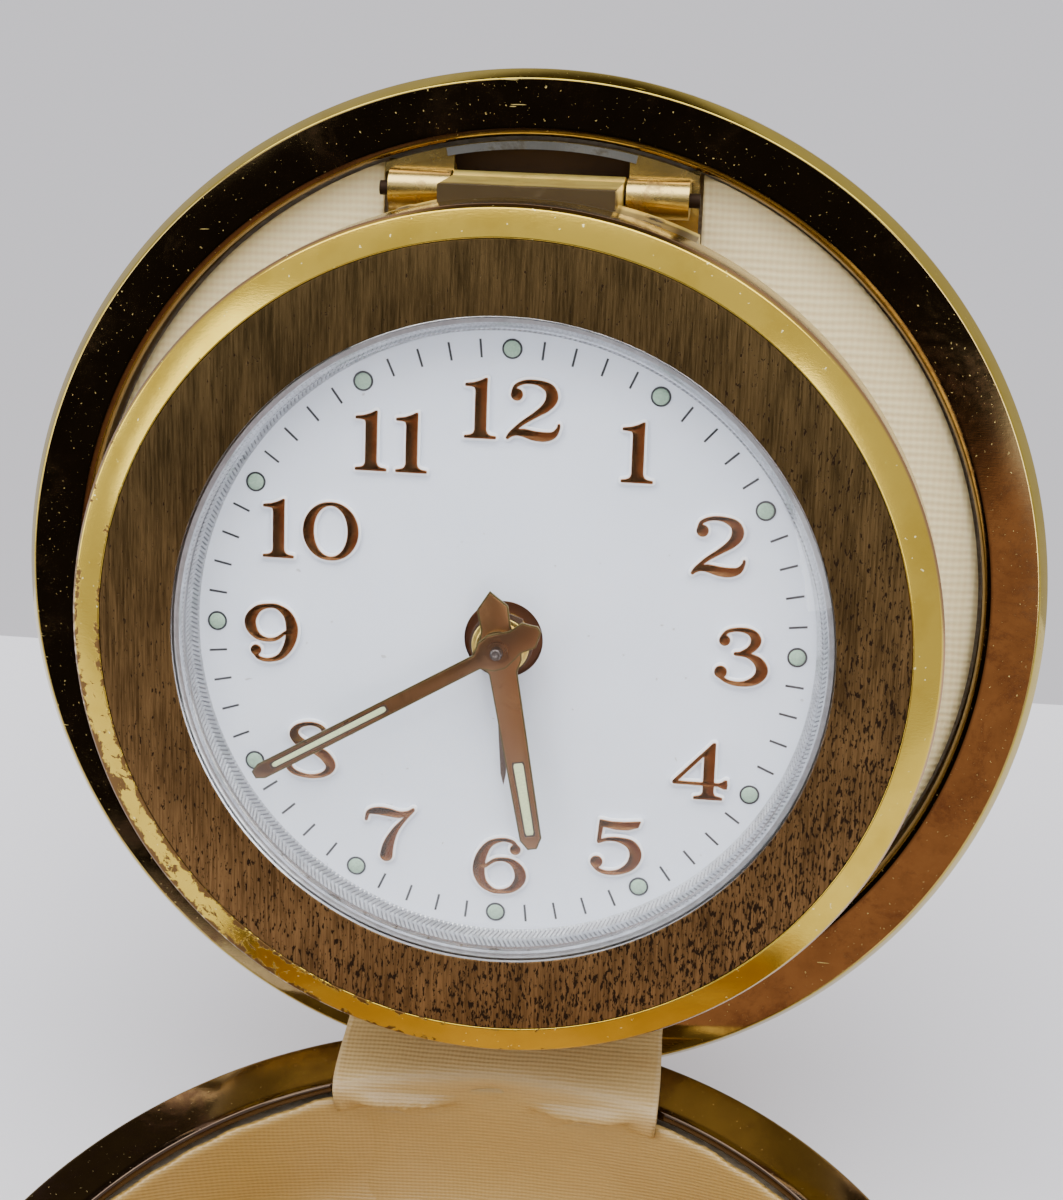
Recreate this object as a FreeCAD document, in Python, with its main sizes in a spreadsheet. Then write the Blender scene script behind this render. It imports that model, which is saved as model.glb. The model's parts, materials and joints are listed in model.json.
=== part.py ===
import FreeCAD, Part
import math
import os
import Sketcher
from FreeCAD import Placement, Rotation, Vector

# Round folding travel alarm clock, standing open.
# Row frame, millimetres: X right, Y away from the viewer, Z up, origin in the middle of
# the base's resting face. Three frames carry the parts:
#   base frame   the row frame
#   lid frame    origin in the middle of the lid's front plane, Z out of the lid, Y to its top
#   drum frame   origin in the middle of the dial, Z out of the dial, Y to 12 o'clock

DOC = FreeCAD.newDocument("TravelAlarmClock")
SHEET = DOC.addObject("Spreadsheet::Sheet", "Sizes")

SIZES = {
    # rims of the two case halves
    "rim_radius": 40.5, "rim_flat_outer": 39.3, "rim_flat_inner": 35.9, "rim_lip": 35.5,
    "rim_lip_drop": 0.35, "rim_chamfer_drop": 1.9, "rim_depth": 2.8, "rim_sheet": 0.8,
    "rim_lip_depth": 1.4,
    # case halves
    "case_radius": 39.5, "cover_thickness": 0.5, "case_corner": 3.5, "fit_gap": 0.02,
    "base_height": 21, "base_sheet": 1.0, "lid_depth": 5.9, "lid_sheet": 0.4,
    "shell_below_rim": 1.15, "cover_below_rim": 2.1, "slack": 0.06,
    "lining_radius": 35.2, "lining_thickness": 0.5, "lining_corner": 9, "lining_below_rim": 2.3,
    "lid_board_thickness": 2.0, "notch_half_width": 12.3, "notch_start": 27,
    # fold of the strap that joins the halves
    "fold_back": 38.24, "fold_height": 19.1, "closed_gap": 0.9, "open_angle": 117.9,
    "strap_width": 25.6, "strap_thickness": 0.6, "strap_inset": 3.1,
    # hinge at the top of the lid
    "hinge_up": 31.2, "hinge_out": 0.2, "pin_radius": 0.55, "barrel_radius": 1.55,
    "knuckle_inner": 6.7, "knuckle_outer": 11.4, "pin_clearance": 0.04, "drum_barrel_half": 6.5,
    "bracket_radius": 35.15, "bracket_sheet": 0.65, "bracket_half_width": 12.0,
    "drum_lean": 2.2, "drum_stand_off": 12.5,
    "rivet_across": 8.5, "rivet_up": 29.4, "rivet_shank": 0.6, "rivet_head": 1.2,
    "leaf_rivet_head": 0.8, "leaf_rivet_height": 0.12, "leaf_half_width": 12.5,
    # clock drum
    "bezel_radius": 32, "bezel_drop": 0.9, "bezel_inner": 29.7, "front_height": 3.4,
    "bezel_skirt": 2.0, "drum_radius": 31, "drum_wall": 0.8, "drum_rear": 10.4,
    "back_thickness": 0.5, "ring_thickness": 0.6, "crystal_radius": 24.2,
    "crystal_edge": 3.5, "crystal_top": 5.6, "crystal_thickness": 0.9, "crystal_wall": 1.0,
    "crystal_foot": 2.4,
    "rehaut_inner": 22.8, "dial_radius": 24.0, "dial_thickness": 0.4, "dial_hole": 2.9,
    # hands
    "minute_length": 21.0, "hour_length": 15.6, "alarm_length": 10.8, "hand_thickness": 0.22,
    "minute_height": 3.15, "hour_height": 2.35, "alarm_height": 1.1,
    # movement
    "plate_radius": 29.2, "plate_thickness": 0.7, "front_plate": 3.2, "rear_plate": 9.0,
    "pillar_ring": 25.5, "pillar_radius": 1.4, "train_module": 0.25, "fine_module": 0.2,
    "motion_module": 0.24, "arbor_radius": 0.4, "arbor_clearance": 0.05,
    "barrel_drum_radius": 8.2, "alarm_drum_radius": 6.7, "balance_radius": 4.6,
}
for row, (alias, number) in enumerate(SIZES.items(), start=1):
    SHEET.set("A%d" % row, alias)
    SHEET.set("B%d" % row, str(number))
    SHEET.setAlias("B%d" % row, alias)
DOC.recompute()


class Size:
    """A length or angle as a number, with the sheet formula that gives it."""

    def __init__(self, value, text):
        self.value = value
        self.text = text

    def __add__(self, other):
        other = size(other)
        return Size(self.value + other.value, "(%s + %s)" % (self.text, other.text))

    def __sub__(self, other):
        other = size(other)
        return Size(self.value - other.value, "(%s - %s)" % (self.text, other.text))

    def __mul__(self, other):
        other = size(other)
        return Size(self.value * other.value, "(%s * %s)" % (self.text, other.text))

    def __neg__(self):
        return Size(-self.value, "(-1 * %s)" % self.text)

    __radd__ = __add__
    __rmul__ = __mul__

    def __rsub__(self, other):
        return size(other) - self


def size(item):
    """A Size from a Size, a number or the alias of a cell."""
    if isinstance(item, Size):
        return item
    if isinstance(item, str):
        return Size(float(SHEET.get(item)), "Sizes." + item)
    return Size(float(item), repr(float(item)))


def mm(item):
    """The number that a size stands for."""
    return size(item).value


def bind(thing, name, item):
    """Sets a property of an object and ties it to the sheet."""
    thing.setExpression(name, size(item).text)


# ---- frames ----------------------------------------------------------------------------

BASE = Placement()


def standing(up_angle, y, z):
    """A frame turned about X, whose Z axis points forward and up, with its origin at y, z."""
    return Placement(Vector(0, y, z), Rotation(Vector(1, 0, 0), up_angle))


def lid_frame():
    """The lid opens about the fold of the strap, from lying face down on the base."""
    fold = Vector(0, mm("fold_back"), mm("fold_height"))
    closed = Vector(0, 0, mm("base_height") + mm("closed_gap"))
    turn = Rotation(Vector(1, 0, 0), -mm("open_angle"))
    centre = fold + turn.multVec(closed - fold)
    return standing(180 - mm("open_angle"), centre.y, centre.z)


LID = lid_frame()


def drum_frame():
    """The drum stands off the lid's front plane and leans back less than the lid does."""
    angle = 180 - mm("open_angle") + mm("drum_lean")
    out = Rotation(Vector(1, 0, 0), angle).multVec(Vector(0, 0, mm("drum_stand_off")))
    return standing(angle, LID.Base.y + out.y, LID.Base.z + out.z)


DRUM = drum_frame()
HINGE_IN_LID = Vector(0, mm("hinge_up"), mm("hinge_out"))
HINGE_IN_DRUM = DRUM.inverse().multVec(LID.multVec(HINGE_IN_LID))


# ---- ways of making a piece ---------------------------------------------------------------

PARTS = {}


def keep(name, thing, frame=None):
    """Names a finished sub-part and puts it in its frame."""
    thing.Label = name
    if frame is not None:
        thing.Placement = frame
    PARTS[name] = thing
    return thing


def new_body(name, plane_role):
    """A body with one empty sketch on the plane of that role."""
    body = DOC.addObject("PartDesign::Body", "Body_" + name)
    plane = [f for f in body.Origin.OriginFeatures if f.Role == plane_role][0]
    sketch = body.newObject("Sketcher::SketchObject", "Sketch_" + name)
    sketch.AttachmentSupport = (plane, [""])
    sketch.MapMode = "FlatFace"
    return body, sketch


def tie(sketch, kind, geometry, point, item):
    """Holds one coordinate of a sketch point at a size from the sheet."""
    number = sketch.addConstraint(
        Sketcher.Constraint(kind, -1, 1, geometry, point, mm(item)))
    sketch.setExpression("Constraints[%d]" % number, size(item).text)


def arc_between(p, q, centre_x, turn):
    """The arc from p to q whose centre is at that x; turn is 1 for anticlockwise, -1 for clockwise."""
    cy = ((q.x - centre_x) ** 2 - (p.x - centre_x) ** 2 + q.y ** 2 - p.y ** 2) / (2 * (q.y - p.y))
    centre = Vector(centre_x, cy, 0)
    ends = (p, q) if turn > 0 else (q, p)
    angles = [math.atan2(e.y - cy, e.x - centre_x) for e in ends]
    circle = Part.Circle(centre, Vector(0, 0, 1), (p - centre).Length)
    return Part.ArcOfCircle(circle, angles[0], angles[1])


def draw(sketch, corners):
    """A closed outline. A corner is (x, y), or (x, y, centre x, turn) where an arc starts."""
    count = len(corners)
    points = [Vector(mm(c[0]), mm(c[1]), 0) for c in corners]
    first = sketch.GeometryCount
    starts, ends = [], []
    for i, corner in enumerate(corners):
        p, q = points[i], points[(i + 1) % count]
        if len(corner) == 2:
            sketch.addGeometry(Part.LineSegment(p, q))
            starts.append(1)
            ends.append(2)
        else:
            sketch.addGeometry(arc_between(p, q, mm(corner[2]), corner[3]))
            starts.append(1 if corner[3] > 0 else 2)
            ends.append(2 if corner[3] > 0 else 1)
    for i, corner in enumerate(corners):
        following = (i + 1) % count
        sketch.addConstraint(Sketcher.Constraint(
            "Coincident", first + i, ends[i], first + following, starts[following]))
        tie(sketch, "DistanceX", first + i, starts[i], corner[0])
        tie(sketch, "DistanceY", first + i, starts[i], corner[1])
        if len(corner) > 2:
            tie(sketch, "DistanceX", first + i, 3, corner[2])


def turned(name, corners, frame):
    """A sub-part turned about Z from an outline of radius and height."""
    body, sketch = new_body(name, "XZ_Plane")
    draw(sketch, corners)
    turn = body.newObject("PartDesign::Revolution", "Turn_" + name)
    turn.Profile = sketch
    turn.ReferenceAxis = (sketch, ["V_Axis"])
    turn.Angle = 360
    return keep(name, body, frame)


def ring(name, inner, outer, low, high, frame):
    """A plain washer between two radii and two heights."""
    return turned(name, [(inner, low), (outer, low), (outer, high), (inner, high)], frame)


def flat(name, corners, low, thickness, frame, holes=()):
    """A plate of that outline, with round holes of (x, y, radius)."""
    body, sketch = new_body(name, "XY_Plane")
    bind(sketch, ".AttachmentOffset.Base.z", low)
    draw(sketch, corners)
    for x, y, radius in holes:
        circle = sketch.addGeometry(
            Part.Circle(Vector(mm(x), mm(y), 0), Vector(0, 0, 1), mm(radius)))
        tie(sketch, "DistanceX", circle, 3, x)
        tie(sketch, "DistanceY", circle, 3, y)
        number = sketch.addConstraint(Sketcher.Constraint("Radius", circle, mm(radius)))
        sketch.setExpression("Constraints[%d]" % number, size(radius).text)
    pad = body.newObject("PartDesign::Pad", "Pad_" + name)
    pad.Profile = sketch
    bind(pad, "Length", thickness)
    return keep(name, body, frame)


def primitive(kind, name, **sizes):
    """A Part primitive with its sizes bound to the sheet; x, y, z place it."""
    thing = DOC.addObject("Part::" + kind, name)
    for key in ("x", "y", "z"):
        bind(thing, ".Placement.Base." + key, sizes.pop(key, 0))
    for key, item in sizes.items():
        bind(thing, key, item)
    return thing


def block(name, x, y, z):
    """A box between two limits on each axis."""
    return primitive("Box", name, x=x[0], y=y[0], z=z[0], Length=size(x[1]) - x[0],
                     Width=size(y[1]) - y[0], Height=size(z[1]) - z[0])


def rod(name, radius, low, high, x=0, y=0):
    """A cylinder along Z."""
    return primitive("Cylinder", name, x=x, y=y, z=low, Radius=radius, Height=size(high) - low)


def cross_rod(name, radius, half_length, y, z, start=None):
    """A cylinder along X, from start or from minus its half length."""
    begin = -size(half_length) if start is None else size(start)
    thing = primitive("Cylinder", name, x=begin, y=y, z=z, Radius=radius,
                      Height=size(half_length) - begin)
    thing.Placement.Rotation = Rotation(Vector(0, 1, 0), 90)
    return thing


def fuse(name, pieces):
    """The union of several shapes."""
    thing = DOC.addObject("Part::MultiFuse", name)
    thing.Shapes = pieces
    return thing


def cut(name, base, tool):
    """A shape with another taken out of it."""
    thing = DOC.addObject("Part::Cut", name)
    thing.Base = base
    thing.Tool = tool
    return thing


def common(name, base, tool):
    """What two shapes share."""
    thing = DOC.addObject("Part::Common", name)
    thing.Base = base
    thing.Tool = tool
    return thing


def group(name, pieces, frame):
    """Separate solids that share one node."""
    thing = DOC.addObject("Part::Compound", "Group_" + name)
    thing.Links = pieces
    return keep(name, thing, frame)


def made(name, shape, frame):
    """A sub-part whose shape is worked out in code, such as a toothed wheel."""
    thing = DOC.addObject("Part::Feature", "Made_" + name)
    thing.Shape = shape
    return keep(name, thing, frame)


# ---- case halves ----------------------------------------------------------------------------

def rim(name, top, frame):
    """Pressed brass rim: a flat band, a chamfer outside and a thin lip inside."""
    sheet = size("rim_sheet")
    skirt = size("case_radius") + 0.1
    turned(name, [
        ("rim_lip", size(top) - "rim_lip_drop"),
        ("rim_flat_inner", top),
        ("rim_flat_outer", top),
        ("rim_radius", size(top) - "rim_chamfer_drop"),
        ("rim_radius", size(top) - "rim_depth"),
        (skirt, size(top) - "rim_depth"),
        (skirt, size(top) - "rim_chamfer_drop"),
        (size("rim_flat_outer") - 0.4, size(top) - sheet),
        (size("rim_flat_inner") + 0.5, size(top) - sheet),
        (size("rim_flat_inner") + 0.4, size(top) - "rim_lip_depth"),
        ("rim_lip", size(top) - "rim_lip_depth"),
    ], frame)


def cup(name, radius, floor, corner, thickness, top, frame):
    """A cup of sheet with a rounded bottom corner; corner is the outside radius."""
    radius, floor, corner = size(radius), size(floor), size(corner)
    foot = radius - corner
    turned(name, [
        (0, floor), (foot, floor, foot, 1), (radius, floor + corner), (radius, top),
        (radius - thickness, top), (radius - thickness, floor + corner, foot, -1),
        (foot, floor + thickness), (0, floor + thickness),
    ], frame)


def case_half(prefix, top, floor, sheet, frame):
    """Rim, sheet-metal shell and leathercloth cover of one half of the case."""
    top, floor = size(top), size(floor)
    shell_radius = size("case_radius") - "cover_thickness" - "fit_gap"
    rim(prefix + "_rim", top, frame)
    cup(prefix + "_cover", "case_radius", floor, "case_corner", "cover_thickness",
        top - "cover_below_rim", frame)
    cup(prefix + "_shell", shell_radius, floor + "cover_thickness" + "fit_gap",
        size("case_corner") - "cover_thickness", sheet, top - "shell_below_rim", frame)


def base_half():
    """Deep half that the clock stands on, lined inside."""
    case_half("base", "base_height", 0, "base_sheet", BASE)
    inside_floor = size("cover_thickness") + "base_sheet" + "fit_gap" + "fit_gap"
    lining_floor = inside_floor + "slack"
    lining_outer = size("lining_radius") + "lining_thickness"
    top = size("base_height") - "lining_below_rim"
    cup("base_lining", lining_outer, lining_floor, "lining_corner", "lining_thickness", top, BASE)
    foot = lining_outer - "lining_corner"
    board_outer = size("case_radius") - "cover_thickness" - "base_sheet" - "slack"
    turned("base_wall_board", [
        (foot, inside_floor), (board_outer - 2.4, inside_floor),
        (board_outer, inside_floor + 2.4), (board_outer, top),
        (lining_outer + 0.05, top),
        (lining_outer + 0.05, lining_floor + "lining_corner", foot, -1),
    ], BASE)


def notched_disc(name, radius, low, high):
    """A disc of the lid's inside with a square notch at the top for the hinge bracket."""
    disc = rod("Disc_" + name, radius, low, high)
    notch = block("Notch_" + name, (-size("notch_half_width"), "notch_half_width"),
                  ("notch_start", "rim_radius"), (size(low) - 1, size(high) + 1))
    keep(name, cut("Cut_" + name, disc, notch), LID)


def lid_half():
    """Shallow half that carries the drum, lined inside."""
    case_half("lid", 0, -size("lid_depth"), "lid_sheet", LID)
    front = -size("lining_below_rim") - 0.1
    back = front - "lining_thickness"
    notched_disc("lid_lining", size("lining_radius") + 0.1, back, front)
    board = rod("Disc_lid_board", size("lining_radius") + 0.4,
                back - 0.05 - "lid_board_thickness", back - 0.05)
    group("lid_board", [board], LID)


# ---- strap -----------------------------------------------------------------------------------

def strip(points, half_thickness):
    """The outline of a strip of even thickness along a path of (y, z) points."""
    sides = ([], [])
    for i, point in enumerate(points):
        before = points[max(i - 1, 0)]
        after = points[min(i + 1, len(points) - 1)]
        along_in = (point - before) if i else (after - point)
        along_out = (after - point) if i < len(points) - 1 else (point - before)
        along_in.normalize()
        along_out.normalize()
        middle = along_in + along_out
        middle.normalize()
        across = Vector(0, -middle.z, middle.y)
        reach = half_thickness / middle.dot(along_out)
        sides[0].append(point + across * reach)
        sides[1].append(point - across * reach)
    return sides[0] + sides[1][::-1]


def strap():
    """Strap of the lining cloth: out of the base, over both rims and up behind the drum."""
    top = mm("base_height")
    thickness = mm("strap_thickness")
    over_rim = top + thickness / 2 + 0.35
    inside = mm("lining_radius") - mm("strap_inset")
    on_lining = -mm("lining_below_rim") - 0.1 + thickness / 2 + 0.1
    path = [
        Vector(0, inside, top - 5),
        Vector(0, inside, over_rim - 0.7),
        Vector(0, inside + 0.7, over_rim),
        Vector(0, mm("rim_flat_outer"), over_rim),
        LID.multVec(Vector(0, -33.4, 0.75)),
        LID.multVec(Vector(0, -31.2, -0.15)),
        LID.multVec(Vector(0, -28.6, on_lining)),
        LID.multVec(Vector(0, -20, on_lining)),
    ]
    half = mm("strap_width") / 2
    outline = [p - Vector(half, 0, 0) for p in strip(path, thickness / 2)]
    face = Part.Face(Part.makePolygon(outline + outline[:1]))
    made("strap", face.extrude(Vector(2 * half, 0, 0)), BASE)


# ---- hinge between lid and drum ---------------------------------------------------------------

def curved_wall(name, inner, outer, half_width, low, high):
    """A stretch of a round wall at the top, between two radii."""
    shell = cut("Wall_" + name, rod("Outer_" + name, outer, low, high),
                rod("Inner_" + name, inner, size(low) - 1, size(high) + 1))
    window = block("Window_" + name, (-size(half_width), half_width), (20, 45),
                   (size(low) - 1, size(high) + 1))
    return common("Sector_" + name, shell, window)


def lid_bracket():
    """Steel bracket: foot plate, curved wall behind the rim's lip and two curled knuckles."""
    sheet = size("bracket_sheet")
    foot_top = -size("lining_below_rim")
    foot_low = foot_top - 0.6
    half = size("bracket_half_width")
    wall_inner = size("bracket_radius") - sheet
    pieces = [
        block("BracketFoot", (-half, half), (size("notch_start") + 0.3, wall_inner - 1.2),
              (foot_low, foot_top)),
        curved_wall("bracket", wall_inner, "bracket_radius", half, foot_low, -0.6),
    ]
    heel = block("BracketHeel", (-half, half), (wall_inner - 3, "bracket_radius"),
                 (foot_low, foot_top))
    pieces.append(common("BracketHeelRound", heel,
                         rod("BracketHeelLimit", "bracket_radius", foot_low, foot_top)))
    arm_low = size("hinge_out") - "barrel_radius"
    for side, (low, high) in {"left": (-size("knuckle_outer"), -size("knuckle_inner")),
                              "right": ("knuckle_inner", "knuckle_outer")}.items():
        arm = block("BracketArm_" + side, (low, high), ("hinge_up", size("bracket_radius") - 0.1),
                    (arm_low, arm_low + sheet))
        pieces.append(common("BracketArmRound_" + side, arm,
                             rod("BracketArmLimit_" + side, "bracket_radius", -3, 3)))
        pieces.append(cross_rod("BracketBarrel_" + side, "barrel_radius", high, "hinge_up",
                                "hinge_out", start=low))
    holes = [cross_rod("BracketPinHole", size("pin_radius") + 0.01, 13, "hinge_up", "hinge_out")]
    for side in (-1, 1):
        holes.append(rod("BracketRivetHole_%d" % (side + 2), size("rivet_shank") + "fit_gap", -4, 0,
                         x=side * size("rivet_across"), y="rivet_up"))
    solid = fuse("BracketSolid", pieces)
    keep("hinge_bracket", cut("BracketCut", solid, fuse("BracketHoles", holes)), LID)
    rivets = []
    for side in (-1, 1):
        across = side * size("rivet_across")
        shank = rod("RivetShank_%d" % (side + 2), "rivet_shank", foot_low, foot_top + 0.05,
                    x=across, y="rivet_up")
        head = primitive("Cone", "RivetHead_%d" % (side + 2), x=across, y="rivet_up",
                         z=foot_top + 0.01, Radius1="rivet_head", Radius2=0.7, Height=0.5)
        rivets.append(fuse("Rivet_%d" % (side + 2), [shank, head]))
    group("bracket_rivets", rivets, LID)
    pin = cross_rod("Pin", "pin_radius", 12.2, "hinge_up", "hinge_out")
    group("hinge_pin", [pin], LID)


def drum_leaf():
    """Brass leaf of the drum: curved plate on the band, tongue and the middle barrel."""
    hinge_y, hinge_z = HINGE_IN_DRUM.y, HINGE_IN_DRUM.z
    half = size("drum_barrel_half")
    clear = size("drum_radius") + 0.05
    tongue = cut("LeafSaddle",
                 block("LeafTongue", (-half, half), (28, hinge_y + 1.26), (hinge_z, -5)),
                 rod("LeafTongueLimit", clear, hinge_z - 1, 0))
    plate = curved_wall("leaf", clear, clear + "bracket_sheet", "leaf_half_width", -9.4, -2.4)
    barrel = cross_rod("LeafBarrel", "barrel_radius", half, hinge_y, hinge_z)
    hole = cross_rod("LeafHole", size("pin_radius") + "pin_clearance", 13, hinge_y, hinge_z)
    keep("drum_hinge_leaf", cut("LeafCut", fuse("LeafSolid", [tongue, plate, barrel]), hole), DRUM)
    rivets = []
    for side in (-1, 1):
        angle = side * 17.0
        for height in (-7.6, -4.2):
            head = DOC.addObject("Part::Cone", "LeafRivet")
            bind(head, "Radius1", "leaf_rivet_head")
            bind(head, "Radius2", size("leaf_rivet_head") * 0.75)
            bind(head, "Height", "leaf_rivet_height")
            foot = mm(clear) + mm("bracket_sheet") + mm("fit_gap")
            direction = Vector(math.sin(math.radians(angle)), math.cos(math.radians(angle)), 0)
            head.Placement = Placement(direction * foot + Vector(0, 0, height),
                                       Rotation(Vector(0, 0, 1), direction))
            rivets.append(head)
    group("leaf_rivets", rivets, DRUM)


# ---- drum case and dial -------------------------------------------------------------------------

def drum_case():
    """Bezel, brushed ring, crystal, reflector ring, dial, band and back cover of the drum."""
    front = size("front_height")
    seat = front - "ring_thickness" - 0.03
    bore = size("crystal_radius") + "slack"
    shoulder = front - "bezel_drop"
    flange_low = seat - 0.6
    skirt_inner = size("drum_radius") + 0.1
    turned("bezel", [
        ("bezel_inner", front), ("bezel_radius", shoulder), ("bezel_radius", -size("bezel_skirt")),
        (skirt_inner, -size("bezel_skirt")), (skirt_inner, flange_low), (bore, flange_low),
        (bore, seat), ("bezel_inner", seat),
    ], DRUM)
    ring("brushed_ring", bore, size("bezel_inner") - 0.04, front - "ring_thickness", front, DRUM)
    wall = size("crystal_radius") - "crystal_wall"
    turned("crystal", [
        (0, size("crystal_top") - "crystal_thickness", 0, -1),
        (wall, size("crystal_edge") - 0.15),
        (wall, "crystal_foot"),
        ("crystal_radius", "crystal_foot"),
        ("crystal_radius", "crystal_edge", 0, 1),
        (0, "crystal_top"),
    ], DRUM)
    turned("reflector_ring", [
        ("rehaut_inner", 0.03), (size("dial_radius") + 0.1, 0.03),
        (size("dial_radius") + 0.1, size("crystal_foot") - 0.04),
        (size("dial_radius") - 0.3, size("crystal_foot") - 0.04), ("rehaut_inner", 0.6),
    ], DRUM)
    ring("dial", "dial_hole", "dial_radius", -size("dial_thickness"), 0, DRUM)
    back_front = size("back_thickness") - "drum_rear"
    ring("drum_band", size("drum_radius") - "drum_wall", "drum_radius", back_front + 0.03,
         flange_low - 0.05, DRUM)
    turned("movement_ring", [
        (23, -1.25), (23, -0.45), (30.1, -0.45), (30.1, back_front + 0.05),
        (29.3, back_front + 0.05), (29.3, -1.25),
    ], DRUM)


BARREL_AT = Vector(-8.60, -6.02, 0)
ALARM_BARREL_AT = Vector(-12, 12, 0)
THIRD_AT = Vector(3.50, 6.06, 0)
FOURTH_AT = THIRD_AT + Vector(7.0, 0, 0)
ESCAPE_AT = FOURTH_AT + Vector(0.938, -5.318, 0)
PALLET_AT = ESCAPE_AT + Vector(0, -4.6, 0)
BALANCE_AT = PALLET_AT + Vector(0, -5.4, 0)
ALARM_SHAFT_AT = Vector(4.2, -7.275, 0)
ALARM_ESCAPE_AT = ALARM_BARREL_AT + Vector(7.361, 4.25, 0)
HAMMER_AT = Vector(3.0, 19.5, 0)
STOP_AT = Vector(18, 10, 0)
MINUTE_WHEEL_AT = Vector(-5.638, -2.052, 0)


def disc_with_holes(name, radius, low, high, holes):
    """A round plate with round holes of (place, radius)."""
    plate = rod("Plate_" + name, radius, low, high)
    cuts = [rod("Hole_%s_%d" % (name, i), hole, size(low) - 1, size(high) + 1, x=at.x, y=at.y)
            for i, (at, hole) in enumerate(holes)]
    return plate, cuts


def back_cover():
    """Back of the drum, with holes for the keys and knobs and slots for stop and regulator."""
    low = -size("drum_rear")
    high = low + "back_thickness"
    holes = [(Vector(0, 0, 0), 1.0), (BARREL_AT, 1.2), (ALARM_BARREL_AT, 1.2), (ALARM_SHAFT_AT, 0.9)]
    plate, cuts = disc_with_holes("back", "drum_radius", low, high, holes)
    cuts.append(block("StopSlot", (STOP_AT.x - 1.0, STOP_AT.x + 3.2),
                      (STOP_AT.y - 0.8, STOP_AT.y + 0.8), (low - 1, high + 1)))
    cuts.append(block("RegulatorSlot", (BALANCE_AT.x - 3.0, BALANCE_AT.x + 3.0),
                      (BALANCE_AT.y - 6.6, BALANCE_AT.y - 4.6), (low - 1, high + 1)))
    keep("back_cover", cut("BackCut", plate, fuse("BackCuts", cuts)), DRUM)
    screws = []
    for i in range(3):
        angle = math.radians(30 + 120 * i)
        x, y = 27.6 * math.cos(angle), 27.6 * math.sin(angle)
        head = rod("BackScrewHead_%d" % i, 1.3, low - 0.55, low - 0.02, x=x, y=y)
        slot = block("BackScrewSlot_%d" % i, (x - 2, x + 2), (y - 0.18, y + 0.18),
                     (low - 1, low - 0.35))
        screws.append(cut("BackScrew_%d" % i, head, slot))
    group("back_screws", screws, DRUM)


# ---- hands ----------------------------------------------------------------------------------------

def hand(name, length, width, tail, eye, bore, height, clock_angle):
    """A tapered hand with a pointed tip and a pentagonal tail, about a round eye."""
    tip = width * 0.22
    neck = math.sqrt(eye ** 2 - (width / 2) ** 2)
    tail_half = eye * 0.7
    tail_root = math.sqrt(eye ** 2 - tail_half ** 2)
    pointing = Placement(Vector(), Rotation(Vector(0, 0, 1), 90 - clock_angle))
    flat(name, [
        (neck, -width / 2), (size(length) - 0.9, -tip), (length, 0), (size(length) - 0.9, tip),
        (neck, width / 2, 0, 1), (-tail_root, tail_half), (-tail * 0.75, tail_half), (-tail, 0),
        (-tail * 0.75, -tail_half), (-tail_root, -tail_half, 0, 1),
    ], height, "hand_thickness", DRUM.multiply(pointing), holes=[(0, 0, bore)])


def hands():
    """Minute, hour and alarm hands at twenty to six."""
    hand("minute_hand", "minute_length", 1.9, 3.4, 1.35, 0.78, "minute_height", 239.0)
    hand("hour_hand", "hour_length", 2.3, 3.6, 2.1, 1.42, "hour_height", 169.3)
    hand("alarm_hand", "alarm_length", 0.9, 2.5, 2.3, 1.9, "alarm_height", 177.5)


# ---- movement ---------------------------------------------------------------------------------------

def gear(teeth, module, low, high, phase=0.0, at=Vector(), bore=0.0):
    """A wheel with straight-sided teeth; a tooth points at the phase angle in degrees."""
    pitch_radius = teeth * module / 2
    tip, root = pitch_radius + 0.7 * module, pitch_radius - 1.25 * module
    half_root, half_tip = 0.21 * 2 * math.pi / teeth, 0.07 * 2 * math.pi / teeth
    corners = []
    for i in range(teeth):
        middle = math.radians(phase) + 2 * math.pi * i / teeth
        for radius, angle in ((root, -half_root), (tip, -half_tip), (tip, half_tip),
                              (root, half_root)):
            corners.append(at + Vector(radius * math.cos(middle + angle),
                                       radius * math.sin(middle + angle), low))
    face = Part.Face(Part.makePolygon(corners + corners[:1]))
    wheel = face.extrude(Vector(0, 0, high - low))
    if bore:
        wheel = wheel.cut(Part.makeCylinder(bore, high - low + 2, at + Vector(0, 0, low - 1)))
    return wheel


def post(radius, low, high, at=Vector(), bore=0.0):
    """A round post or tube along Z."""
    solid = Part.makeCylinder(radius, high - low, at + Vector(0, 0, low))
    if bore:
        solid = solid.cut(Part.makeCylinder(bore, high - low + 2, at + Vector(0, 0, low - 1)))
    return solid


def toward(a, b):
    """The direction from one arbor to another, in degrees."""
    return math.degrees(math.atan2(b.y - a.y, b.x - a.x))


def gap_toward(a, b, teeth):
    """The phase that turns a gap between two teeth from arbor a towards arbor b."""
    return toward(a, b) + 180.0 / teeth


def joined(shapes):
    """One solid from several that overlap."""
    return shapes[0].fuse(shapes[1:]).removeSplitter()


TEETH = {"barrel": 72, "centre_pinion": 12, "centre": 60, "third_pinion": 10, "third": 60,
         "fourth_pinion": 10, "fourth": 50, "escape_pinion": 10, "cannon": 12, "minute": 36,
         "minute_pinion": 10, "hour": 40, "alarm_wheel": 60, "alarm_pinion": 10,
         "alarm_barrel": 60, "alarm_escape_pinion": 8}


# layers of the movement, as (rear, front) heights in the drum frame
BARREL_TEETH = (-8.15, -7.6)
BARREL_DRUM = (-7.6, -5.4)
SPRING_ROOM = (-7.2, -5.8)
SPRING = (-7.1, -5.9)
BARREL_WALL = 0.5
CENTRE_HOLE = 1.0


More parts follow.
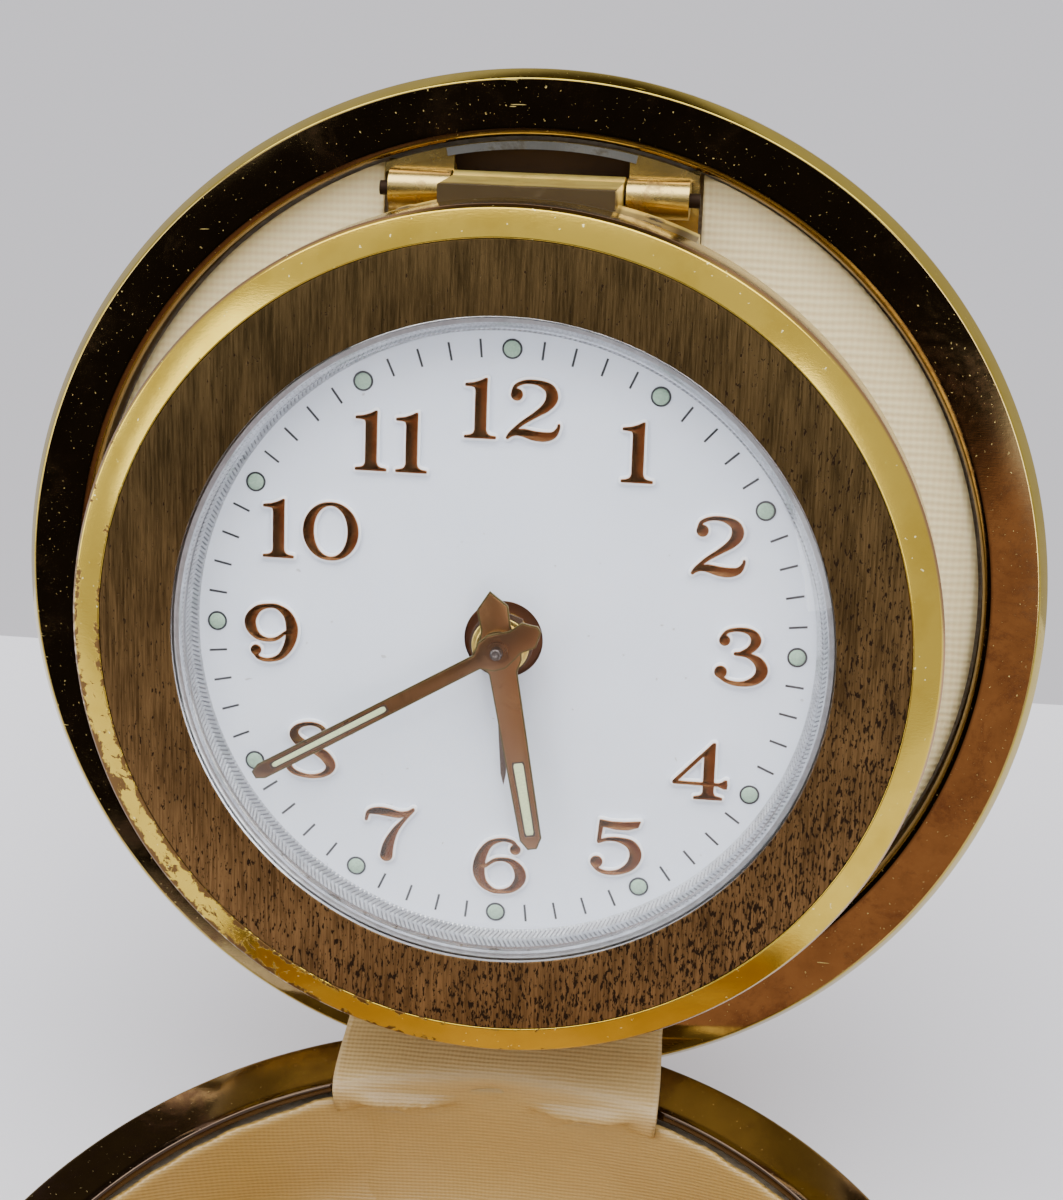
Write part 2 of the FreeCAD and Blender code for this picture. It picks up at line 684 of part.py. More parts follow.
def plates():
    """Front and rear plates of the movement, with the pillars and screws between them."""
    thickness, clearance = mm("plate_thickness"), mm("arbor_clearance")
    pivot = mm("arbor_radius") * 0.6 + clearance
    arbors = [THIRD_AT, FOURTH_AT, ESCAPE_AT, PALLET_AT, BALANCE_AT, ALARM_ESCAPE_AT, HAMMER_AT]
    for name in ("front_plate", "rear_plate"):
        low = -mm(name)
        holes = [(at, pivot) for at in arbors]
        holes += [(Vector(), CENTRE_HOLE), (ALARM_SHAFT_AT, 0.6 + clearance),
                  (BARREL_AT, 0.8 + clearance), (ALARM_BARREL_AT, 0.8 + clearance)]
        if name == "front_plate":
            holes.append((MINUTE_WHEEL_AT, 0.41))
        plate, cuts = disc_with_holes(name, "plate_radius", low, low + thickness, holes)
        keep(name, cut("Cut_" + name, plate, fuse("Cuts_" + name, cuts)), DRUM)
    low = -mm("rear_plate") + thickness
    posts, screws = [], []
    for i in range(4):
        angle = math.radians(35 + 90 * i)
        x, y = mm("pillar_ring") * math.cos(angle), mm("pillar_ring") * math.sin(angle)
        posts.append(rod("Pillar_%d" % i, "pillar_radius", low, -size("front_plate"), x=x, y=y))
        screws.append(rod("PillarScrew_%d" % i, 1.1, -size("rear_plate") - 0.45,
                          -size("rear_plate") - 0.02, x=x, y=y))
    group("pillars", posts, DRUM)
    group("plate_screws", screws, DRUM)


def time_train():
    """Mainspring barrel, centre, third, fourth and escape wheels, each with its arbor."""
    module, fine, escape_module = mm("train_module"), mm("fine_module"), 0.18
    rear, front, thin = -mm("rear_plate"), -mm("front_plate"), mm("arbor_radius")
    pivot = 0.6 * thin
    end = front + mm("plate_thickness")
    centre = Vector()

    def wheel_set(at, wheel, pinion):
        return joined([wheel, pinion, post(thin, rear + 0.75, front - 0.05, at),
                       post(pivot, rear + 0.05, end - 0.05, at)])

    barrel = joined([
        gear(TEETH["barrel"], module, *BARREL_TEETH, toward(BARREL_AT, centre), BARREL_AT),
        post(mm("barrel_drum_radius"), *BARREL_DRUM, BARREL_AT),
    ])
    hollow = post(mm("barrel_drum_radius") - BARREL_WALL, *SPRING_ROOM, BARREL_AT)
    arbor_hole = post(1.6, -9.0, -4.0, BARREL_AT)
    made("mainspring_barrel", barrel.cut(hollow).cut(arbor_hole), DRUM)
    made("mainspring", coil(BARREL_AT, 2.1, 7.4, 0.22, *SPRING, 5), DRUM)
    made("centre_wheel", joined([
        gear(TEETH["centre"], fine, -4.7, -4.15, toward(centre, THIRD_AT)),
        gear(TEETH["centre_pinion"], module, -8.2, -7.4,
             gap_toward(centre, BARREL_AT, TEETH["centre_pinion"])),
        post(0.75, -7.5, -4.2),
    ]).cut(post(0.5, -9, -3)), DRUM)
    made("third_wheel", wheel_set(
        THIRD_AT,
        gear(TEETH["third"], fine, -6.5, -5.95, toward(THIRD_AT, FOURTH_AT), THIRD_AT),
        gear(TEETH["third_pinion"], fine, -4.9, -3.9,
             gap_toward(THIRD_AT, centre, TEETH["third_pinion"]), THIRD_AT)), DRUM)
    made("fourth_wheel", wheel_set(
        FOURTH_AT,
        gear(TEETH["fourth"], escape_module, -4.9, -4.4, toward(FOURTH_AT, ESCAPE_AT),
             FOURTH_AT),
        gear(TEETH["fourth_pinion"], fine, -6.7, -5.75,
             gap_toward(FOURTH_AT, THIRD_AT, TEETH["fourth_pinion"]), FOURTH_AT)), DRUM)
    made("escape_wheel", wheel_set(
        ESCAPE_AT, ratchet(15, 3.1, 2.2, -7.6, -7.2, ESCAPE_AT),
        gear(TEETH["escape_pinion"], escape_module, -5.05, -4.25,
             gap_toward(ESCAPE_AT, FOURTH_AT, TEETH["escape_pinion"]), ESCAPE_AT)), DRUM)


def ratchet(teeth, tip, root, low, high, at):
    """An escape wheel with pointed teeth."""
    corners = []
    for i in range(teeth):
        start = 2 * math.pi * i / teeth
        for radius, angle in ((tip, 0.0), (tip - 0.05, 0.06), (root, 0.10), (root, 0.34)):
            corners.append(at + Vector(radius * math.cos(start + angle),
                                       radius * math.sin(start + angle), low))
    return Part.Face(Part.makePolygon(corners + corners[:1])).extrude(Vector(0, 0, high - low))


def coil(at, inner, outer, thickness, low, high, turns):
    """A flat spiral spring of rectangular wire."""
    steps = 24
    sides = ([], [])
    for i in range(int(turns * steps) + 1):
        angle = 2 * math.pi * i / steps
        radius = inner + (outer - inner) * i / (turns * steps)
        ray = Vector(math.cos(angle), math.sin(angle), 0)
        sides[0].append(at + ray * (radius - thickness / 2) + Vector(0, 0, low))
        sides[1].append(at + ray * (radius + thickness / 2) + Vector(0, 0, low))
    outline = sides[0] + sides[1][::-1]
    return Part.Face(Part.makePolygon(outline + outline[:1])).extrude(Vector(0, 0, high - low))


def escapement():
    """Pallet lever, balance wheel with staff, hairspring and balance cock."""
    rear, end = -mm("rear_plate") + 0.05, -mm("front_plate") + mm("plate_thickness") - 0.05
    pivot = 0.6 * mm("arbor_radius")
    x, y = PALLET_AT.x, PALLET_AT.y
    lever = Part.makePolygon([Vector(x + dx, y + dy, -7.6) for dx, dy in (
        (-2.1, 0.9), (-1.5, 1.2), (0, 0.7), (1.5, 1.2), (2.1, 0.9), (0.4, -0.5), (0.35, -3.4),
        (0.7, -4.1), (0, -3.6), (-0.7, -4.1), (-0.35, -3.4), (-0.4, -0.5), (-2.1, 0.9))])
    made("pallet_lever", joined([Part.Face(lever).extrude(Vector(0, 0, 0.4)),
                                 post(pivot, rear, end, PALLET_AT)]), DRUM)
    radius = mm("balance_radius")
    balance_rim = post(radius, -6.4, -5.7, BALANCE_AT, bore=radius - 0.7)
    spoke = Part.makeBox(2 * radius - 0.6, 0.6, 0.5,
                         BALANCE_AT + Vector(-radius + 0.3, -0.3, -6.3))
    made("balance_wheel", joined([balance_rim, spoke, post(0.5, -7.0, -4.6, BALANCE_AT),
                                  post(pivot, rear, end, BALANCE_AT)]), DRUM)
    made("hairspring", coil(BALANCE_AT, 0.9, 3.0, 0.1, -5.3, -5.0, 6), DRUM)


def motion_work():
    """Centre arbor, cannon pinion, minute wheel, hour wheel and alarm wheel under the dial."""
    module = mm("motion_module")
    centre = Vector()
    rear = -mm("drum_rear")
    cannon_module = 0.25
    made("centre_arbor", joined([post(0.45, rear - 0.4, 4.15), post(0.85, rear - 0.4, -8.3)]), DRUM)
    made("cannon_pinion", joined([
        gear(TEETH["cannon"], cannon_module, -2.4, -1.85, toward(centre, MINUTE_WHEEL_AT)),
        post(0.75, -2.4, 3.6),
    ]).cut(post(0.46, -3, 5)), DRUM)
    made("minute_wheel", joined([
        gear(TEETH["minute"], cannon_module, -2.4, -1.9,
             gap_toward(MINUTE_WHEEL_AT, centre, TEETH["minute"]), MINUTE_WHEEL_AT),
        gear(TEETH["minute_pinion"], module, -1.95, -1.05,
             gap_toward(MINUTE_WHEEL_AT, centre, TEETH["minute_pinion"]), MINUTE_WHEEL_AT),
        post(0.36, -3.1, -1.0, MINUTE_WHEEL_AT),
    ]), DRUM)
    made("hour_wheel", joined([
        gear(TEETH["hour"], module, -1.7, -1.15, toward(centre, MINUTE_WHEEL_AT)),
        post(1.38, -1.7, 2.75),
    ]).cut(post(0.85, -3, 5)), DRUM)
    made("alarm_wheel", joined([
        gear(TEETH["alarm_wheel"], module, -0.95, -0.5, toward(centre, ALARM_SHAFT_AT)),
        post(1.86, -0.95, 1.45),
    ]).cut(post(1.45, -3, 5)), DRUM)


def alarm_work():
    """Alarm barrel, its escape wheel, the hammer and the setting shaft."""
    module = mm("train_module")
    rear, front, thin = -mm("rear_plate"), -mm("front_plate"), mm("arbor_radius")
    pivot, end = 0.6 * thin, front + mm("plate_thickness")
    radius = mm("alarm_drum_radius")
    body = joined([
        gear(TEETH["alarm_barrel"], module, *BARREL_TEETH,
             toward(ALARM_BARREL_AT, ALARM_ESCAPE_AT), ALARM_BARREL_AT),
        post(radius, *BARREL_DRUM, ALARM_BARREL_AT),
    ])
    hollow = post(radius - BARREL_WALL, *SPRING_ROOM, ALARM_BARREL_AT)
    made("alarm_barrel", body.cut(hollow).cut(post(1.6, -9.0, -4.0, ALARM_BARREL_AT)), DRUM)
    made("alarm_spring", coil(ALARM_BARREL_AT, 2.1, 5.9, 0.22, *SPRING, 4), DRUM)
    made("alarm_escape_wheel", joined([
        gear(TEETH["alarm_escape_pinion"], module, -8.2, -7.5,
             gap_toward(ALARM_ESCAPE_AT, ALARM_BARREL_AT, TEETH["alarm_escape_pinion"]),
             ALARM_ESCAPE_AT),
        ratchet(18, 2.8, 2.1, -5.2, -4.8, ALARM_ESCAPE_AT),
        post(thin, rear + 0.75, front - 0.05, ALARM_ESCAPE_AT),
        post(pivot, rear + 0.05, end - 0.05, ALARM_ESCAPE_AT),
    ]), DRUM)
    x, y = HAMMER_AT.x, HAMMER_AT.y
    arm = Part.makePolygon([Vector(x + dx, y + dy, -5.2) for dx, dy in (
        (-4.3, -1.2), (-3.7, -1.7), (0, -0.8), (12.6, -2.6), (13.0, -1.7), (0, 0.8), (-4.3, -1.2))])
    made("alarm_hammer", joined([
        Part.Face(arm).extrude(Vector(0, 0, 0.5)),
        Part.makeCylinder(1.6, 2.6, Vector(x + 13.2, y - 2.2, -6.4)),
        post(pivot, rear + 0.05, end - 0.05, HAMMER_AT),
    ]), DRUM)
    made("alarm_set_shaft", joined([
        post(0.6, -mm("drum_rear") - 0.4, -0.45, ALARM_SHAFT_AT),
        gear(TEETH["alarm_pinion"], mm("motion_module"), -1.0, -0.45,
             gap_toward(ALARM_SHAFT_AT, Vector(), TEETH["alarm_pinion"]), ALARM_SHAFT_AT),
    ]), DRUM)


# ---- keys, knobs and levers on the back ----------------------------------------------------------------

def wing_key(name, at, angle, length):
    """A folding-wing winding key on its arbor."""
    rear = -mm("drum_rear")
    stem = joined([post(0.8, rear - 0.4, -4.2, at), post(1.5, -7.15, -5.85, at),
                   post(1.9, rear - 1.3, rear - 0.35, at)])
    wing = Part.makeBox(length, 0.9, 1.9, Vector(-length / 2, -0.45, rear - 2.9))
    wing = wing.makeFillet(0.8, [e for e in wing.Edges
                                 if abs(e.tangentAt(e.FirstParameter).y) > 0.9
                                 and e.CenterOfMass.z < rear - 2])
    wing.Placement = Placement(at, Rotation(Vector(0, 0, 1), angle))
    made(name, joined([stem, wing]), DRUM)


def knob(name, at, radius, notches, bore):
    """A round setting knob with a notched edge, on its shaft."""
    rear = -mm("drum_rear")
    body = post(radius, rear - 2.5, rear - 0.5, at, bore=bore)
    for i in range(notches):
        angle = 2 * math.pi * i / notches
        edge = at + Vector(radius * math.cos(angle), radius * math.sin(angle), rear - 3)
        body = body.cut(Part.makeCylinder(0.22, 3, edge))
    made(name, body, DRUM)


def rear_controls():
    """Two winding keys, two setting knobs, the alarm stop and the regulator."""
    rear = -mm("drum_rear")
    wing_key("time_key", BARREL_AT, 20, 9.5)
    wing_key("alarm_key", ALARM_BARREL_AT, 100, 9.5)
    knob("time_set_knob", Vector(), 2.7, 24, 0.86)
    knob("alarm_set_knob", ALARM_SHAFT_AT, 2.3, 20, 0.61)
    x, y = STOP_AT.x, STOP_AT.y
    made("alarm_stop_slide", joined([
        Part.makeBox(3.0, 2.6, 1.0, Vector(x - 1.5, y - 1.3, rear - 1.1)),
        Part.makeBox(1.2, 1.1, 1.3, Vector(x - 0.6, y - 0.55, rear - 0.2)),
    ]), DRUM)
    lever = Part.makePolygon([Vector(BALANCE_AT.x + dx, BALANCE_AT.y + dy, -9.5) for dx, dy in (
        (-0.9, 0.8), (0.9, 0.8), (0.45, -5.9), (-0.45, -5.9), (-0.9, 0.8))])
    made("regulator_lever", joined([
        Part.Face(lever).extrude(Vector(0, 0, 0.3)),
        post(0.4, -10.6, -9.3, BALANCE_AT + Vector(0, -5.55, 0)),
    ]).cut(post(0.35, -11, -8, BALANCE_AT)), DRUM)


# ---- build, check and write -------------------------------------------------------------------------------

def check_and_write():
    """Stops on any failed object, then writes one STEP file for each sub-part."""
    DOC.recompute()
    for thing in DOC.Objects:
        if "Invalid" in thing.State or "Error" in thing.State:
            raise RuntimeError("%s is %s" % (thing.Name, thing.State))
    os.makedirs("parts", exist_ok=True)
    for name, thing in PARTS.items():
        shape = thing.Shape
        if shape.isNull() or not shape.isValid() or not shape.Solids:
            raise RuntimeError("%s has no sound shape" % name)
        shape.exportStep("parts/%s.step" % name)
        print("%-20s %d solid(s) %9.1f mm3" % (name, len(shape.Solids), shape.Volume))


base_half()
lid_half()
strap()
lid_bracket()
drum_leaf()
drum_case()
back_cover()
hands()
plates()
time_train()
escapement()
motion_work()
alarm_work()
rear_controls()
check_and_write()
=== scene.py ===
import json
import math
import random

import bmesh
import bpy
import numpy as np
from mathutils import Matrix, Vector


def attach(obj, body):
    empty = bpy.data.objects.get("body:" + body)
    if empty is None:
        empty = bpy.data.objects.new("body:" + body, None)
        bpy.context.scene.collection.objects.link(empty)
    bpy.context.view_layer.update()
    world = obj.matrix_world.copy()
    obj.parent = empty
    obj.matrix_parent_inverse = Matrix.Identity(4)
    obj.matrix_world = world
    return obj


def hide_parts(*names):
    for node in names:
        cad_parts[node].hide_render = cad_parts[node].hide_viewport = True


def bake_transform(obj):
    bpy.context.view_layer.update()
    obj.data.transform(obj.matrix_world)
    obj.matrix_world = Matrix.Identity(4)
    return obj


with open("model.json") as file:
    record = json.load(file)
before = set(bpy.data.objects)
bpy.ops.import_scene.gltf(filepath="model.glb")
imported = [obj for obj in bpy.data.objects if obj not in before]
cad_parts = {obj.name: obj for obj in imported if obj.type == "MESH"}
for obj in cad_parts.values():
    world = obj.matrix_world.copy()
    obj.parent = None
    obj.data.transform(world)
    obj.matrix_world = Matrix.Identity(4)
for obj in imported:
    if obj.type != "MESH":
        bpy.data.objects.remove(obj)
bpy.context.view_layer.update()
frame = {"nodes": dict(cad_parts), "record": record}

MM = 0.001
TURN = 2 * math.pi

# ---------------------------------------------------------------- frames
JOINTS = {j["name"]: j for j in frame["record"]["behaviour"]["joints"]}
RIGHT = Vector((1, 0, 0))


def frame_at(origin, normal):
    """The matrix of a frame whose x is to the right, y up the face and z out of it."""
    up = normal.cross(RIGHT)
    turn = Matrix((RIGHT, up, normal)).transposed().to_4x4()
    return Matrix.Translation(origin) @ turn


OPEN_ANGLE = math.radians(JOINTS["strap_fold"]["range_deg"][1])
LID_NORMAL = Vector((0, -math.sin(OPEN_ANGLE), -math.cos(OPEN_ANGLE)))
HINGE = Vector(JOINTS["drum_swing"]["pos_m"])
HINGE_IN_LID = (31.2 * MM, 0.2 * MM)
LID_UP = LID_NORMAL.cross(RIGHT)
LID = frame_at(HINGE - LID_UP * HINGE_IN_LID[0] - LID_NORMAL * HINGE_IN_LID[1], LID_NORMAL)
DIAL_NORMAL = -Vector(JOINTS["minute_spin"]["axis"])
DRUM = frame_at(Vector(JOINTS["minute_spin"]["pos_m"]), DIAL_NORMAL)
BASE = Matrix.Identity(4)


def in_lid(y, z, x=0.0):
    return LID @ Vector((x * MM, y * MM, z * MM))


def linked(name, data):
    """A new object in the scene."""
    ob = bpy.data.objects.new(name, data)
    bpy.context.scene.collection.objects.link(ob)
    return ob


# ---------------------------------------------------------------- materials
class Value:
    """A node's output, which can be added, subtracted, multiplied and divided."""

    def __init__(self, nodes, socket):
        self.nodes, self.socket = nodes, socket

    def __add__(self, other):
        return self.nodes.math("ADD", self, other)

    def __sub__(self, other):
        return self.nodes.math("SUBTRACT", self, other)

    def __mul__(self, other):
        return self.nodes.math("MULTIPLY", self, other)

    def __truediv__(self, other):
        return self.nodes.math("DIVIDE", self, other)

    def __abs__(self):
        return self.nodes.math("ABSOLUTE", self)


class Nodes:
    """A node tree, with the nodes that the materials and the sky share."""

    def __init__(self, tree):
        self.tree = tree

    def node(self, kind, inputs, output=0, **settings):
        """A new node's output. Its inputs are numbers, colours or other nodes' outputs."""
        node = self.tree.nodes.new("ShaderNode" + kind)
        for key, value in settings.items():
            setattr(node, key, value)
        for key, value in inputs.items():
            self.feed(node.inputs[key], value)
        return Value(self, node.outputs[output])

    def feed(self, socket, value):
        if isinstance(value, Value):
            self.tree.links.new(value.socket, socket)
        elif isinstance(value, (tuple, list)) and len(value) == 3 and socket.type == "RGBA":
            socket.default_value = (*value, 1.0)
        else:
            socket.default_value = value

    def math(self, operation, *values):
        return self.node("Math", dict(enumerate(values)), operation=operation)

    def step(self, value, low, high):
        """0 below low, 1 above high and smooth between them."""
        inputs = {"Value": value, "From Min": low, "From Max": high}
        return self.node("MapRange", inputs, "Result", interpolation_type="SMOOTHSTEP")

    def blend(self, amount, first, second):
        return self.node("Mix", {"Factor": amount, "A": first, "B": second}, "Result", data_type="RGBA")


class Finish(Nodes):
    """A node material. Lengths are millimetres in the piece's own axes."""

    def __init__(self, name, color, metallic=0.0, roughness=0.5, **sockets):
        self.material = bpy.data.materials.new(name)
        self.material.use_nodes = True
        super().__init__(self.material.node_tree)
        self.shader = self.tree.nodes["Principled BSDF"]
        self.put("Base Color", color)
        self.put("Metallic", metallic)
        self.put("Roughness", roughness)
        for key, value in sockets.items():
            self.put(key.replace("_", " ").title().replace("Ior", "IOR"), value)
        self.coords = self.node("TexCoord", {}, "Object")
        self.relief = None

    def put(self, socket, value):
        """A number, a colour or a node's output into one of the shader's sockets."""
        self.feed(self.shader.inputs[socket], value)

    def place(self, size=1.0, stretch=(1, 1, 1)):
        """Coordinates in units of size millimetres, longer along an axis where stretch is more than 1."""
        scale = [1 / (MM * size * s) for s in stretch]
        return self.node("Mapping", {"Vector": self.coords, "Scale": scale}, "Vector")

    def noise(self, size, detail=4.0, rough=0.6, stretch=(1, 1, 1), twist=0.0):
        inputs = {"Vector": self.place(size, stretch), "Scale": 1.0, "Detail": detail, "Roughness": rough,
                  "Distortion": twist}
        return self.node("TexNoise", inputs, "Fac")

    def cells(self, size):
        return self.node("TexVoronoi", {"Vector": self.place(size), "Scale": 1.0}, "Distance")

    def larger(self, first, second):
        return self.math("MAXIMUM", first, second)

    def along(self, axis):
        """Position along one axis, in millimetres."""
        return self.node("SeparateXYZ", {0: self.place()}, axis)

    def radius(self):
        """Distance from the piece's z axis, in millimetres."""
        across, up = self.along("X"), self.along("Y")
        return self.math("SQRT", across * across + up * up)

    def shades(self, value, low, high, first, second):
        """The first colour where a value is low, the second where it is high."""
        return self.blend(self.step(value, low, high), first, second)

    def between(self, amount, low, high):
        """A number that goes from low to high with amount."""
        return self.node("MapRange", {"Value": amount, "To Min": low, "To Max": high}, "Result")

    def bump(self, height, depth):
        """Relief of that depth in millimetres, added to what is there already."""
        inputs = {"Strength": 1.0, "Distance": depth * MM, "Height": height}
        if self.relief:
            inputs["Normal"] = self.relief
        self.relief = self.node("Bump", inputs, "Normal")
        self.put("Normal", self.relief)


def metal(name, bright, worn, roughness, wear=0.62, streaks=(1, 6, 1), scratch=0.004, metallic=1.0):
    """Polished or brushed metal with a mottled tarnish and fine scratches."""
    f = Finish(name, bright, metallic, roughness)
    mottle = f.noise(2.6, 8, 0.65, twist=0.4)
    tarnish = f.step(mottle, wear, wear + 0.16)
    f.put("Base Color", f.blend(tarnish, bright, worn))
    smear = f.between(f.noise(6.0, 5), roughness * 0.75, roughness * 1.35)
    f.put("Roughness", smear + tarnish * 0.18)
    f.bump(f.noise(0.12, 3, stretch=streaks), scratch)
    f.bump(mottle, scratch * 2)
    return f


# radii past which a rim is darkened as painted shade: inside its lip's inner roll and out on its chamfer
INNER_EDGE, CHAMFER = (36.35, 36.05), (39.6, 39.8)


def rim_brass(name, shade):
    """Polished gilt on a case rim, browned in drifts, speckled, scratched, with painted shade on chamfer and
    inner lip.
    """
    f = Finish(name, (0.62, 0.43, 0.12), 1.0, 0.08)
    drift, fleck = f.noise(9.0, 7, 0.7, twist=0.8), f.noise(0.6, 6, 0.75)
    brown = f.step(drift + fleck * 0.4, 0.66, 0.90)
    gold = f.shades(f.noise(3.0), 0.35, 0.7, (0.62, 0.45, 0.19), (0.50, 0.35, 0.15))
    scar = f.step(f.noise(0.5, 2, stretch=(12, 1, 1)), 0.735, 0.75)
    worn = f.larger(scar, f.step(f.noise(0.3), 0.665, 0.70))
    radius = f.radius()
    tone = f.blend(brown * 0.75, gold, (0.24, 0.11, 0.06))
    tone = f.blend(worn, tone, (0.74, 0.58, 0.20))
    # painted shade on the outer chamfer
    tone = f.blend(f.step(radius, *CHAMFER) * 0.85, tone, (0.36, 0.27, 0.02))
    # painted shade on the inner roll of the lip
    tone = f.blend(f.step(radius, *INNER_EDGE) * 0.75, tone, (0.12, 0.075, 0.035))
    # shade darkens the whole rim towards near black: painted shade, 0.72 on the base's rim
    f.put("Base Color", f.blend(shade, tone, (0.03, 0.022, 0.03)))
    f.put("Roughness", f.between(brown, 0.06, 0.16) + worn * 0.4)
    f.bump(f.noise(0.10, 3, stretch=(9, 1, 1)), 0.0008)
    f.bump(fleck, 0.002)
    return f


def bezel_brass():
    """Bright gilt, with brown wear eaten into its edges, most of all low on the left."""
    f = Finish("bezel_brass", (0.68, 0.49, 0.075), 1.0, 0.13)
    across, up, out, radius = f.along("X"), f.along("Y"), f.along("Z"), f.radius()
    lean = across * -0.0062 + up * -0.0040
    fleck = f.noise(1.1, 9, 0.72, twist=0.5)
    edge = f.larger(f.step(radius, 30.35, 29.8), f.step(radius, 31.1, 31.7)) * 0.13 - 0.085
    on_face = (f.step(out, 1.2, 2.4) - 1.0) * 0.10
    towards_eight = f.step(across * -0.78 + up * -0.62, 25.0, 30.5) * 0.045
    bitten = f.step(fleck + lean + (on_face + (edge + towards_eight)), 0.735, 0.76)
    gold = f.shades(f.noise(5.0, 6), 0.4, 0.72, (0.62, 0.435, 0.062), (0.53, 0.36, 0.044))
    skirt = f.step(out, 2.62, 2.35) * f.step(out, 0.9, 1.5)
    gold = f.blend(skirt * 0.8, gold, (0.26, 0.12, 0.075))
    dust = f.step(f.noise(0.45, 3, 0.5), 0.70, 0.74)
    tone = f.blend(dust, gold, (0.86, 0.76, 0.34))
    f.put("Base Color", f.blend(bitten, tone, (0.16, 0.085, 0.028)))
    f.put("Roughness", f.between(bitten, 0.15, 0.5) + dust * 0.25)
    f.bump(bitten, -0.02)
    f.bump(f.noise(0.14, stretch=(5, 1, 1)), 0.004)
    return f


def leaf_brass():
    """Gilt sheet with a painted highlight, brighter yellow, by the pin and painted shade, dark brown, towards
    the drum.
    """
    f = metal("leaf_brass", (0.80, 0.60, 0.17), (0.50, 0.34, 0.10), 0.3, 0.6, (5, 1, 1), metallic=0.8)
    ragged = (f.noise(1.2, 7, 0.7, stretch=(3, 1, 1)) - 0.5) * 2.4
    # painted shade: dark brown on the drum's side of a ragged line
    drum_side_shade = f.step(f.along("Y") + ragged, 67.9, 66.5)
    # the brighter yellow of the painted highlight along the pin's side
    bright = f.shades(f.noise(2.0, 6), 0.4, 0.7, (1.0, 0.80, 0.22), (0.80, 0.58, 0.14))
    f.put("Base Color", f.blend(drum_side_shade, bright, (0.16, 0.115, 0.06)))
    return f


def brushed_bronze():
    """Brown gilt brushed up and down the dial, olive above turning copper below as painted reflection, pitted
    black, more so low on the right.
    """
    f = Finish("brushed_bronze", (0.16, 0.10, 0.045), 1.0, 0.42)
    brush = f.noise(0.16, 5, 0.7, stretch=(1, 26, 1))
    tone = brush * 0.7 + f.noise(1.6, stretch=(1, 5, 1)) * 0.4
    across, up = f.along("X"), f.along("Y")
    olive = f.shades(tone, 0.36, 0.74, (0.037, 0.024, 0.009), (0.140, 0.088, 0.034))
    copper = f.shades(tone, 0.36, 0.74, (0.085, 0.042, 0.015), (0.31, 0.165, 0.062))
    # painted reflection: darker olive at the top, brighter copper towards the bottom
    painted_reflection_tone = f.shades(up, 20.0, -32.0, olive, copper)
    lean = across * 0.0013 + up * -0.0021
    pit = f.step(f.noise(0.19, stretch=(1, 3.4, 1)) + lean, 0.595, 0.625)
    hole = f.larger(pit, f.step(f.noise(1.5, 8, 0.75), 0.66, 0.69))
    f.put("Base Color", f.blend(hole, painted_reflection_tone, (0.028, 0.016, 0.009)))
    f.put("Roughness", f.between(hole, 0.40, 0.75))
    f.bump(brush, 0.035)
    f.bump(hole, -0.05)
    return f


def lining_threads(f):
    """Light and dark threads of the base lining: paler by the strap, browner out to the sides."""
    side = f.step(abs(f.along("X")), 5.0, 22.0)
    light = f.blend(side, (0.53, 0.355, 0.13), (0.41, 0.257, 0.067))
    return light, f.blend(side, (0.47, 0.305, 0.105), (0.375, 0.228, 0.057))


def strap_threads(f):
    """The strap takes the base lining's colours below its fold, pales towards the lid lining and has a
    painted shadow under the drum.
    """
    height = f.along("Z")
    low, high = f.step(height, 21.4, 18.4), f.step(height, 26.0, 32.0)
    light, dark = lining_threads(f)
    light = f.blend(low, f.blend(high, (0.56, 0.40, 0.18), (0.90, 0.74, 0.44)), light)
    dark = f.blend(low, f.blend(high, (0.49, 0.335, 0.145), (0.68, 0.50, 0.26)), dark)
    # painted shadow: dark grey-brown under the drum's edge, in the strap's middle, streaked along its creases
    middle = f.step(abs(f.along("X") + 1.5), 8.0, 1.0)
    under_drum = f.step(height, 21.9, 23.4) * f.step(height, 30.0, 27.0)
    crease = f.step(f.noise(1.0, stretch=(12, 1, 1)), 0.42, 0.62)
    drum_shadow = middle * under_drum * f.between(crease, 0.25, 0.75)
    return f.blend(drum_shadow, light, (0.24, 0.185, 0.13)), f.blend(drum_shadow, dark, (0.20, 0.15, 0.10))


def woven(name, light, dark, pitch, gloss=0.42, stains=0.0, soiled=0.3, threads=None):
    """Vinyl-faced cloth: ribs across, finer threads up and down, faint stains."""
    f = Finish(name, light, roughness=gloss, specular_ior_level=0.5, coat_weight=0.4,
               coat_roughness=gloss * 0.7)
    if threads:
        light, dark = threads(f)
    wander = (f.noise(6.0, 2) - 0.5) * 0.5
    rib = f.math("SINE", (f.along("Y") + f.along("Z") + wander) * (TURN / pitch))
    thread = f.math("SINE", (f.along("X") + wander) * (TURN / (pitch * 0.8)))
    weave = rib * 0.7 + thread * 0.3
    slub = f.noise(1.2, stretch=(3, 0.5, 1))
    cloth = f.shades(weave + slub * 1.1, -0.9, 1.7, dark, light)
    cloth = f.blend(f.step(f.noise(14.0, 7), 0.35, 0.85) * soiled, cloth, (0.46, 0.32, 0.17))
    if stains:
        cloth = f.blend(f.step(f.noise(5.0, 5), 0.58, 0.86) * stains, cloth, (0.36, 0.20, 0.08))
    f.put("Base Color", cloth)
    f.bump(weave, 0.022)
    f.bump(slub, 0.03)
    return f


def leathercloth():
    """Cream leathercloth on the outside of the case, with a fine pebbled grain."""
    f = Finish("leathercloth", (0.62, 0.49, 0.32), roughness=0.5, specular_ior_level=0.4)
    pebble, crease = f.cells(0.55), f.noise(3.0, 6, 0.7, twist=1.0)
    tone = f.shades(pebble, 0.1, 0.65, (0.50, 0.385, 0.245), (0.68, 0.55, 0.38))
    f.put("Base Color", f.blend(f.step(crease, 0.52, 0.8) * 0.4, tone, (0.40, 0.28, 0.16)))
    f.put("Roughness", f.between(crease, 0.38, 0.62))
    f.bump(pebble, 0.09)
    f.bump(crease, 0.06)
    return f


